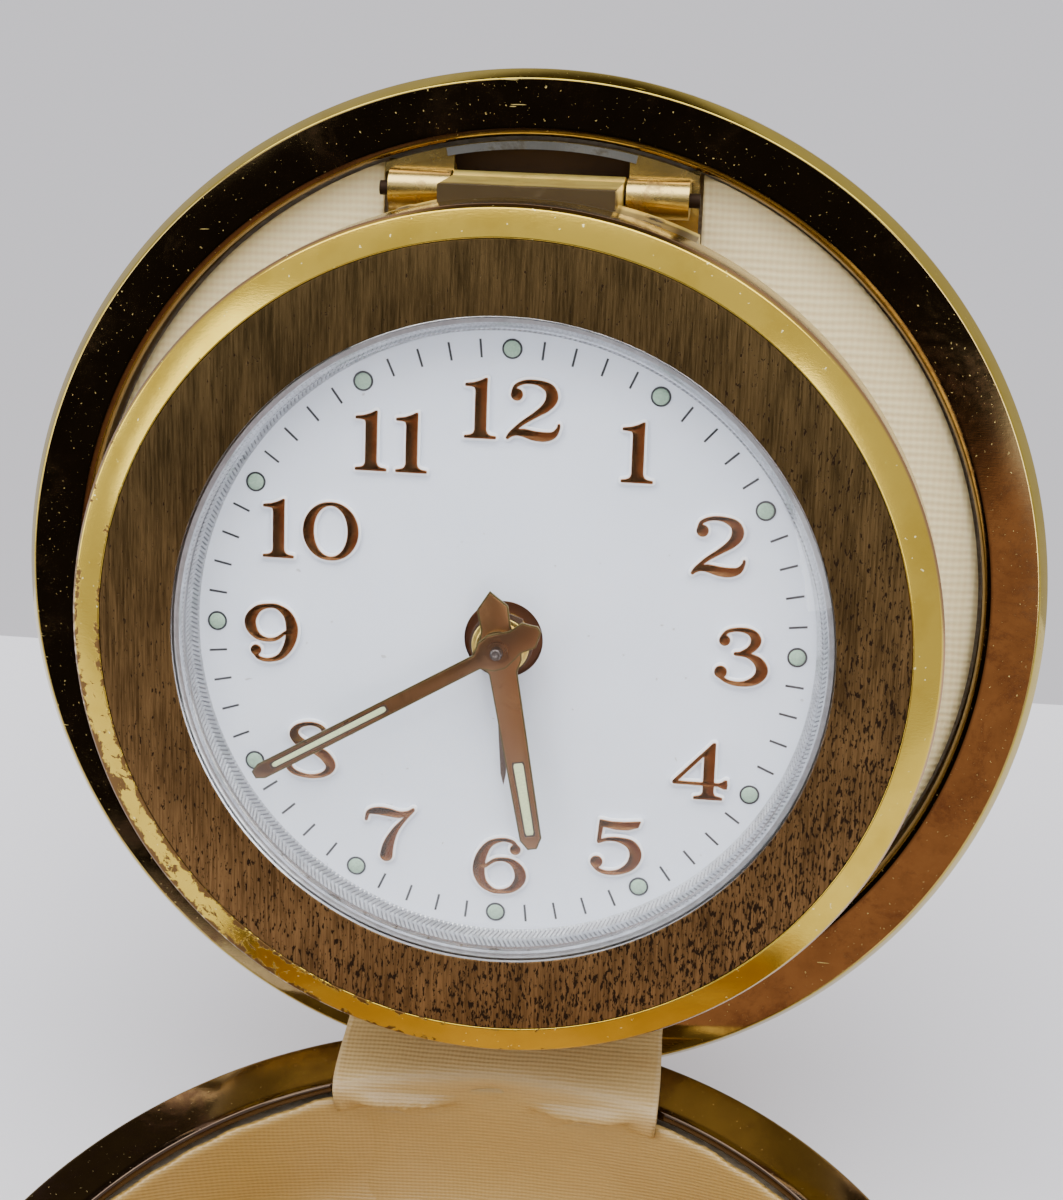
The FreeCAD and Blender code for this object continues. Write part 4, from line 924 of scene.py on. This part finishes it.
# the minute hand takes the darker, shaded copy of the hands' gilt: painted shade
clock_hand("minute_pointer", "minute_hand", "minute_works", 239.0, minute_outline, 0.5,
           bar(.33, .28, 9.3, 19.5), bar(.21, .18, 9.5, 19.3), 3.04, 3.27, "minute_gilt")
hour_outline = [(-1.05, 1.9), (-1.5, 1.1), (-1.6, .2), (-1.3, -.9), (-1.1, -1.5), (-1.15, -3.05), (0, -4.3),
                (1.15, -3.05), (1.1, -1.5), (1.3, -.9), (1.6, .2), (1.5, 1.1), (1.05, 1.9),
                (.82, HOUR_LONG - .8), (.35, HOUR_LONG), (-.35, HOUR_LONG), (-.82, HOUR_LONG - .8)]
clock_hand("hour_pointer", "hour_hand", "hour_works", 169.3, hour_outline, 1.0,
           bar(.48, .42, 8.7, 14.6), bar(.36, .3, 8.85, 14.45), 2.24, 2.47, "hand_gilt")

# ---------------------------------------------------------------- drum front
BEZEL = [(29.7, 3.4, 0.1), (31.75, 2.62, 0.25), (32.0, 2.2, 0.2), (32.0, -2.0, 0.15), (31.1, -2.0),
         (31.1, 2.17), (24.26, 2.17), (24.26, 2.77), (29.7, 2.77)]
BAND = [(24.26, 2.8), (29.66, 2.8), (29.66, 3.32, 0.05), (24.3, 3.4, 0.08)]
WALL = [(31.0, -9.87), (31.0, 2.12), (30.2, 2.12), (30.2, -9.87)]
lathe("bezel_ring", rounded(BEZEL), "bezel_brass", DRUM, 256, body="drum", stands_for="bezel",
      slot="polished_brass")
lathe("brushed_band", rounded(BAND), "brushed_bronze", DRUM, 256, body="drum", stands_for="brushed_ring",
      slot="brushed_bronze")

DOME_HIGH, DOME_EDGE, GLASS, GLASS_INNER, GLASS_FOOT = 5.6, 3.5, 24.2, 23.3, 2.42
GLASS_THICK, INNER_FALL, GLASS_STEPS = 0.9, 1.35, 24
sag = DOME_HIGH - DOME_EDGE
sphere = (GLASS ** 2 + sag ** 2) / (2 * sag)
outer = []
for k in range(GLASS_STEPS, -1, -1):
    reach = GLASS * k / GLASS_STEPS
    outer.append((reach, DOME_HIGH - sphere + math.sqrt(sphere ** 2 - reach ** 2)))
inner = [(GLASS_INNER * k / GLASS_STEPS, DOME_HIGH - GLASS_THICK - INNER_FALL * (k / GLASS_STEPS) ** 2)
         for k in range(GLASS_STEPS + 1)]
lathe("crystal_dome", [(GLASS, GLASS_FOOT)] + outer + inner + [(GLASS_INNER, GLASS_FOOT)], "crystal_acrylic",
      DRUM, body="drum", stands_for="crystal", slot="crystal_acrylic", smooth=25)


def knurled_ring():
    """The reflector round the dial: two bands of fine slanted ribs below a plain silver lip."""
    rib_depth, band_steps = 0.095, 4
    profile = [(22.8, 0.03, 0, 0)]
    for radius, widening, (foot, tall), slant in ((22.86, 0.32, LOW_BAND, RIB_SLANT),
                                                  (23.26, 0.3, HIGH_BAND, -RIB_SLANT)):
        for k in range(band_steps + 1):
            t = k / band_steps
            profile.append((radius + widening * t, foot + tall * t, rib_depth, t * slant))
        if slant > 0:
            profile.append((23.22, 0.95, 0, 0))
    profile += [(23.6, 2.0, 0, 0), (23.72, 2.36, 0, 0), (24.1, 2.36, 0, 0), (24.1, 0.03, 0, 0)]
    turns = [TURN * k / (5 * RIBS) for k in range(5 * RIBS)]
    sections = []
    for r, z, depth, slant in profile:
        sections.append([])
        for a in turns:
            reach = r + depth * math.cos(RIBS * a + slant * TURN)
            sections[-1].append((reach * math.cos(a), reach * math.sin(a), z))
    piece("reflector_knurl", *skin(sections, closed=True), "reflector_silver", DRUM, body="drum",
          stands_for="reflector_ring", slot="reflector_silver", smooth=50)


knurled_ring()
lathe("drum_wall", rounded(WALL), "drum_gilt", DRUM, body="drum", stands_for="drum_band",
      slot="gilt_brass")

# ---------------------------------------------------------------- case halves
BASE_RIM = [(35.5, 20.65), (35.7, 20.95, 0.15), (36.1, 21.0, 0.1), (39.8, 21.0, 0.25), (40.5, 19.7, 0.4),
            (40.5, 18.25, 0.1), (39.6, 18.2), (39.6, 20.2), (35.5, 20.2)]
LID_RIM = [(r, z - 21.0, *more) for r, z, *more in BASE_RIM]
COVER_THICK = 0.5


def cup_profile(floor, top, radius=39.5, corner=3.5, steps=10):
    """Outline of a cup of even thickness, from the middle of its floor round and back."""
    outside, inside = [], []
    foot, inner_r = radius - corner, corner - COVER_THICK
    for k in range(steps + 1):
        a = math.pi / 2 * k / steps
        outside.append((foot + corner * math.sin(a), floor + corner * (1 - math.cos(a))))
        inside.append((foot + inner_r * math.sin(a), floor + COVER_THICK + inner_r * (1 - math.cos(a))))
    walls = [(radius, top), (radius - COVER_THICK, top)]
    return [(0, floor)] + outside + walls + inside[::-1] + [(0, floor + COVER_THICK)]


for half, at, rim, look in (("base", BASE, BASE_RIM, "base_rim_brass"),
                            ("lid", LID, LID_RIM, "polished_brass")):
    lathe(half + "_lip", rounded(rim), look, at, 288, body=half, stands_for=half + "_rim",
          slot="polished_brass")
for half, at, floor, top in (("base", BASE, 0.0, 18.9), ("lid", LID, -5.9, -2.1)):
    lathe(half + "_covering", cup_profile(floor, top), "case_cover", at, closed=False, body=half,
          stands_for=half + "_cover", slot="case_cover")


def wall_strip(name, inner, outer, half, low, high, look, steps=60):
    """A strip of the bracket's curved wall, between two radii about the lid's axis."""
    reach = math.asin(half / outer)
    corners = ((inner, low), (outer, low), (outer, high), (inner, high))
    sections = []
    for k in range(steps + 1):
        a = math.pi / 2 - reach + 2 * reach * k / steps
        sections.append([(r * math.cos(a), r * math.sin(a), z) for r, z in corners])
    vertices, faces = skin(sections)
    ends = [(0, 1, 2, 3), tuple(4 * steps + k for k in (3, 2, 1, 0))]
    piece(name, vertices, ends + faces, look, LID, body="lid", slot="plated_steel", smooth=30)


wall_strip("bracket_arch", 34.5, 35.1, 7.3, -0.58, -0.42, "sheared_steel")
# a near-black sheet over the bracket's foot: painted shade deep inside the bracket
wall_strip("bracket_shade_sheet", 31.6, 34.48, 6.9, -2.3, -2.2, "browned_steel")


# ---------------------------------------------------------------- linings and strap
def ripple(x, y, seed, size, octaves=3):
    """A smooth wandering height between about -1 and 1, the same on every run."""
    draw = random.Random(seed)
    total, weight = 0.0, 0.0
    for octave in range(octaves):
        share = 0.55 ** octave
        for _ in range(3):
            angle, phase = draw.uniform(0, TURN), draw.uniform(0, TURN)
            wave = size / (1.7 ** octave) * draw.uniform(0.8, 1.25)
            total += share * math.sin(TURN * (x * math.cos(angle) + y * math.sin(angle)) / wave + phase)
            weight += share
    return total / weight * 1.6


def bell(value, centre, width, power=2):
    """1 at the centre, falling to 0 on both sides."""
    return math.exp(-((value - centre) / width) ** power)


LINING = {"slot": "lining_cloth", "smooth": 60}


def base_cup():
    """The lining of the base: a cup of cloth with a raw cut edge, puckered near the strap."""
    radius, around, corner, floor, top = 35.2, 240, 8.5, 2.6, 19.85
    foot = radius - corner
    path = [(foot * k / 16, floor) for k in range(1, 17)]
    for k in range(1, 13):
        a = math.pi / 2 * k / 12
        path.append((foot + corner * math.sin(a), floor + corner * (1 - math.cos(a))))
    path += [(radius, floor + corner + (top - floor - corner) * k / 10) for k in range(1, 11)]
    sections = [[(0, 0, floor)]]
    for r, z in path:
        on_wall = clamp((z - floor) / corner)
        on_floor = 1 - on_wall
        sections.append([])
        for k in range(around):
            a = TURN * k / around
            wander = 0.10 * ripple(r * math.cos(a), r * math.sin(a) + z, 5, 26) * on_floor
            push = wander - 0.16 * on_wall * (1 + ripple(a * 35, z, 9, 15)) / 2
            pucker = bell(a, math.pi / 2, 0.5)
            push -= 0.25 * pucker * on_wall * (0.5 + 0.5 * math.sin(a * 40))
            edge = 0.08 * math.sin(a * 61) + 0.06 * math.sin(a * 23 + 1) if (r, z) == path[-1] else 0
            reach = r + push * on_wall
            sections[-1].append((reach * math.cos(a), reach * math.sin(a), z + edge + push * on_floor))
    ob = piece("base_cloth_cup", *skin(sections), "base_cloth", body="base", stands_for="base_lining",
               **LINING)
    solidify(ob, 0.4, 0.0)
    return ob


cup = base_cup()

LID_LINING = 35.25


def lid_sheet():
    """The lid's lining: a disc of ribbed cloth, notched for the hinge bracket."""
    notch_x, notch_y, front, cells = 12.3, 27.0, -2.45, 26
    lowest = -LID_LINING + 0.02
    notch_top = math.sqrt(LID_LINING ** 2 - notch_x ** 2)
    rows = [lowest + (LID_LINING - 0.02 + notch_y) * j / 66 for j in range(67)]
    rows += [notch_y + (notch_top - notch_y) * j / 9 for j in range(1, 10)]
    sections = []
    for y in rows:
        half = math.sqrt(max(LID_LINING ** 2 - y ** 2, 0.01))
        inner = notch_x if y >= notch_y else min(notch_x, 0.5 * half)
        xs = [-half + (half - inner) * i / cells for i in range(cells)]
        xs += [-inner + 2 * inner * i / cells for i in range(cells)]
        xs += [inner + (half - inner) * i / cells for i in range(cells + 1)]
        lifts = [0.07 * ripple(x, y, 3, 30) + 0.03 * ripple(x, y, 11, 7) for x in xs]
        sections.append([(x, y, front + lift) for x, lift in zip(xs, lifts)])

    def in_notch(row, column):
        return rows[row] >= notch_y - 1e-6 and cells <= column < 2 * cells

    faces_of = skin(sections, wrap=False, hole=in_notch)
    ob = piece("lid_cloth", *faces_of, "lining_cloth", LID, body="lid", stands_for="lid_lining", **LINING)
    solidify(ob, 0.4)
    return ob


cloth = lid_sheet()


def strap_lift(x, share, s):
    """How far the strap stands off its path, at a length s along it from the base's rim."""
    lift = 0.13 * math.sin(s * 2.6 + 0.5 * math.sin(x * 0.35)) * bell(s, 9.5, 3.4) * math.cos(share * 1.2)
    crease = -1.7 + 2.0 * max(0.0, (abs(x + 0.4) - 3.2) / 9.0) ** 1.4
    window = bell(abs(x + 0.4), 7.2, 3.6, 4)
    lift += window * (0.95 * bell(s, crease, 0.55) - 0.5 * bell(s, crease - 1.5, 0.8))
    lift -= 0.45 * bell(x, -0.4, 2.6) * bell(s, -0.6, 1.3)
    return lift + 0.05 * ripple(x, s, 21, 9)


def strap():
    """The strap between the halves: up the back of the base, over both rims and up behind the drum."""
    half, across = 12.8, 56
    path = [Vector((0, y * MM, z * MM)) for y, z in
            [(32.2, 4.6), (33.9, 7.2), (34.75, 11.0), (34.85, 15.0), (34.75, 18.2), (34.6, 20.2),
             (34.85, 21.2), (35.7, 21.62), (37.2, 21.72), (39.1, 21.75)]]
    path += [in_lid(y, z) for y, z in
             [(-33.4, 0.85), (-31.6, 0.35), (-30.0, -0.85), (-28.2, -1.6), (-25.0, -2.1), (-22.2, -2.3)]]
    dense = smooth_path([tuple(p / MM) for p in path], steps=9)
    lengths = [0.0]
    for a, b in zip(dense, dense[1:]):
        lengths.append(lengths[-1] + float(np.linalg.norm(b - a)))
    lip = next(length for length, p in zip(lengths, dense) if p[2] > 20.2)
    sections = []
    for j, point in enumerate(dense):
        ahead, behind = dense[min(j + 1, len(dense) - 1)], dense[max(j - 1, 0)]
        direction = Vector(ahead - behind).normalized()
        out = Vector((0, -direction.z, direction.y))
        s = lengths[j] - lip
        below = clamp((18.9 - point[2]) / 1.2) if point[1] < 35.5 else 0.0
        follow = clamp((38.8 - point[1]) / 3.0) if s < 8 else 0.0
        sections.append([])
        for i in range(across + 1):
            share = 2 * i / across - 1
            x = half * share * (1 + 0.01 * math.sin(s * 0.7) * abs(share))
            sunk = max(0.0, (abs(share) - 0.62) / 0.38) ** 2 * 0.95 * below
            flat_edge = 1 - 0.6 * max(0.0, abs(share) - 0.8) / 0.2
            at = Vector((x, point[1], point[2])) + out * (strap_lift(x, share, s) * flat_edge - sunk)
            at.y += (math.sqrt(34.6 ** 2 - x * x) - 34.6) * follow
            sections[-1].append(tuple(at))
    ob = piece("cloth_strap", *skin(sections, wrap=False), "strap_cloth", stands_for="strap", **LINING)
    solidify(ob, 0.35, 0.0)
    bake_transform(ob)
    return ob, lengths[-1] * MM, 2 * half * MM


band, band_long, band_wide = strap()

# ---------------------------------------------------------------- finishes on the CAD nodes that stay
SHOWN_AS = {"drum_hinge_leaf": "leaf_brass", "leaf_rivets": "leaf_brass", "cannon_pinion": "minute_gilt",
            "hinge_pin": "browned_steel", "centre_arbor": "pin_steel", "back_cover": "back_plate"}
SLOT_OF = {s["node"]: s["material_slot"] for s in frame["record"]["subparts"]}
for name, node in frame["nodes"].items():
    if not node.hide_render:
        node.data.materials.clear()
        node.data.materials.append(LOOKS[SHOWN_AS.get(name, SLOT_OF[name])].material)

# ---------------------------------------------------------------- stage, light and camera
FLOOR_SIDE, FLOOR_BACK = 1.2, 0.106
PAPER = (0.78, 0.78, 0.83)
paper = Finish("floor_paper", PAPER, roughness=0.6, specular_ior_level=0.3)
paper.put("Base Color", paper.shades(paper.noise(90, 3), 0.3, 0.7, PAPER, tuple(0.96 * c for c in PAPER)))
floor_mesh = bpy.data.meshes.new("floor")
floor_mesh.from_pydata([(x * FLOOR_SIDE, y, 0) for x, y in
                        ((-1, -FLOOR_SIDE), (1, -FLOOR_SIDE), (1, FLOOR_BACK), (-1, FLOOR_BACK))],
                       [], [(0, 1, 2, 3)])
floor_mesh.materials.append(paper.material)
linked("floor", floor_mesh)

world = bpy.data.worlds.new("studio")
bpy.context.scene.world = world
world.use_nodes = True
studio = Nodes(world.node_tree)
DIRECTION = studio.node("TexCoord", {}, "Generated")


def sky_patch(azimuth, elevation, inner, outer):
    """1 inside a round patch of sky and 0 outside it. Azimuth 0 is in front of the clock."""
    a, e = math.radians(azimuth), math.radians(elevation)
    towards = (math.sin(a) * math.cos(e), -math.cos(a) * math.cos(e), math.sin(e))
    dot = studio.node("VectorMath", {0: DIRECTION, 1: towards}, "Value", operation="DOT_PRODUCT")
    return studio.step(dot, math.cos(math.radians(outer)), math.cos(math.radians(inner)))


SKY, DOME = (0.87, 0.85, 0.90), (1.0, 0.99, 1.01)
WARM, BLACK, ABOVE_BEHIND = (0.38, 0.195, 0.13), (0.010, 0.008, 0.008), (0.10, 0.078, 0.05)
sky = SKY
# azimuth, elevation, inner and outer reach in degrees, then the colour
for *patch, color in ((0, 90, 40, 72, DOME), (180, 53, 20, 30, ABOVE_BEHIND), (5, 9, 10, 14, WARM),
                      (-20, 15, 12, 15, BLACK), (-2, 32, 13.5, 16.5, BLACK), (-12, 20, 8.5, 11.5, BLACK)):
    sky = studio.blend(sky_patch(*patch), sky, color)
for socket, value in (("Color", sky), ("Strength", 1.0)):
    studio.feed(world.node_tree.nodes["Background"].inputs[socket], value)


AIM = Vector((0, 0.03, 0.04))


def softbox(name, place, width, height, watts, color=(1, 1, 1)):
    light = bpy.data.lights.new(name, "AREA")
    light.shape = "RECTANGLE"
    light.size, light.size_y = width, height
    light.energy = watts
    light.color = color
    ob = linked(name, light)
    ob.location = place
    ob.rotation_euler = (AIM - Vector(place)).to_track_quat("-Z", "Y").to_euler()


softbox("overhead", (0.0, 0.03, 0.75), 1.3, 0.5, 10.0)
softbox("left_fill", (-0.69, -0.12, 0.19), 0.3, 0.4, 1.5, (0.90, 0.95, 1.0))
softbox("front_fill", (-0.50, -0.42, 0.40), 0.2, 0.35, 0.75, (0.90, 0.95, 1.0))
softbox("right_fill", (0.31, -0.55, 0.39), 0.2, 0.35, 0.9, (0.95, 0.97, 1.0))

CAMERA_AT = Vector((21.11, -83.51, 174.38)) * MM
CAMERA_AIM = Vector((1.949, 48.667, 59.752)) * MM
CAMERA_ROLL = math.radians(-1.82)
forward = (CAMERA_AIM - CAMERA_AT).normalized()
level = forward.cross(Vector((0, 0, 1))).normalized()
rise = level.cross(forward)
side = level * math.cos(CAMERA_ROLL) + rise * math.sin(CAMERA_ROLL)
lens = bpy.data.cameras.new("camera")
lens.lens = 72.06
lens.sensor_width = 36.0
lens.clip_start = 0.01
camera = linked("camera", lens)
axes = Matrix((side, side.cross(forward), -forward)).transposed().to_4x4()
camera.matrix_world = Matrix.Translation(CAMERA_AT) @ axes
bpy.context.scene.camera = camera
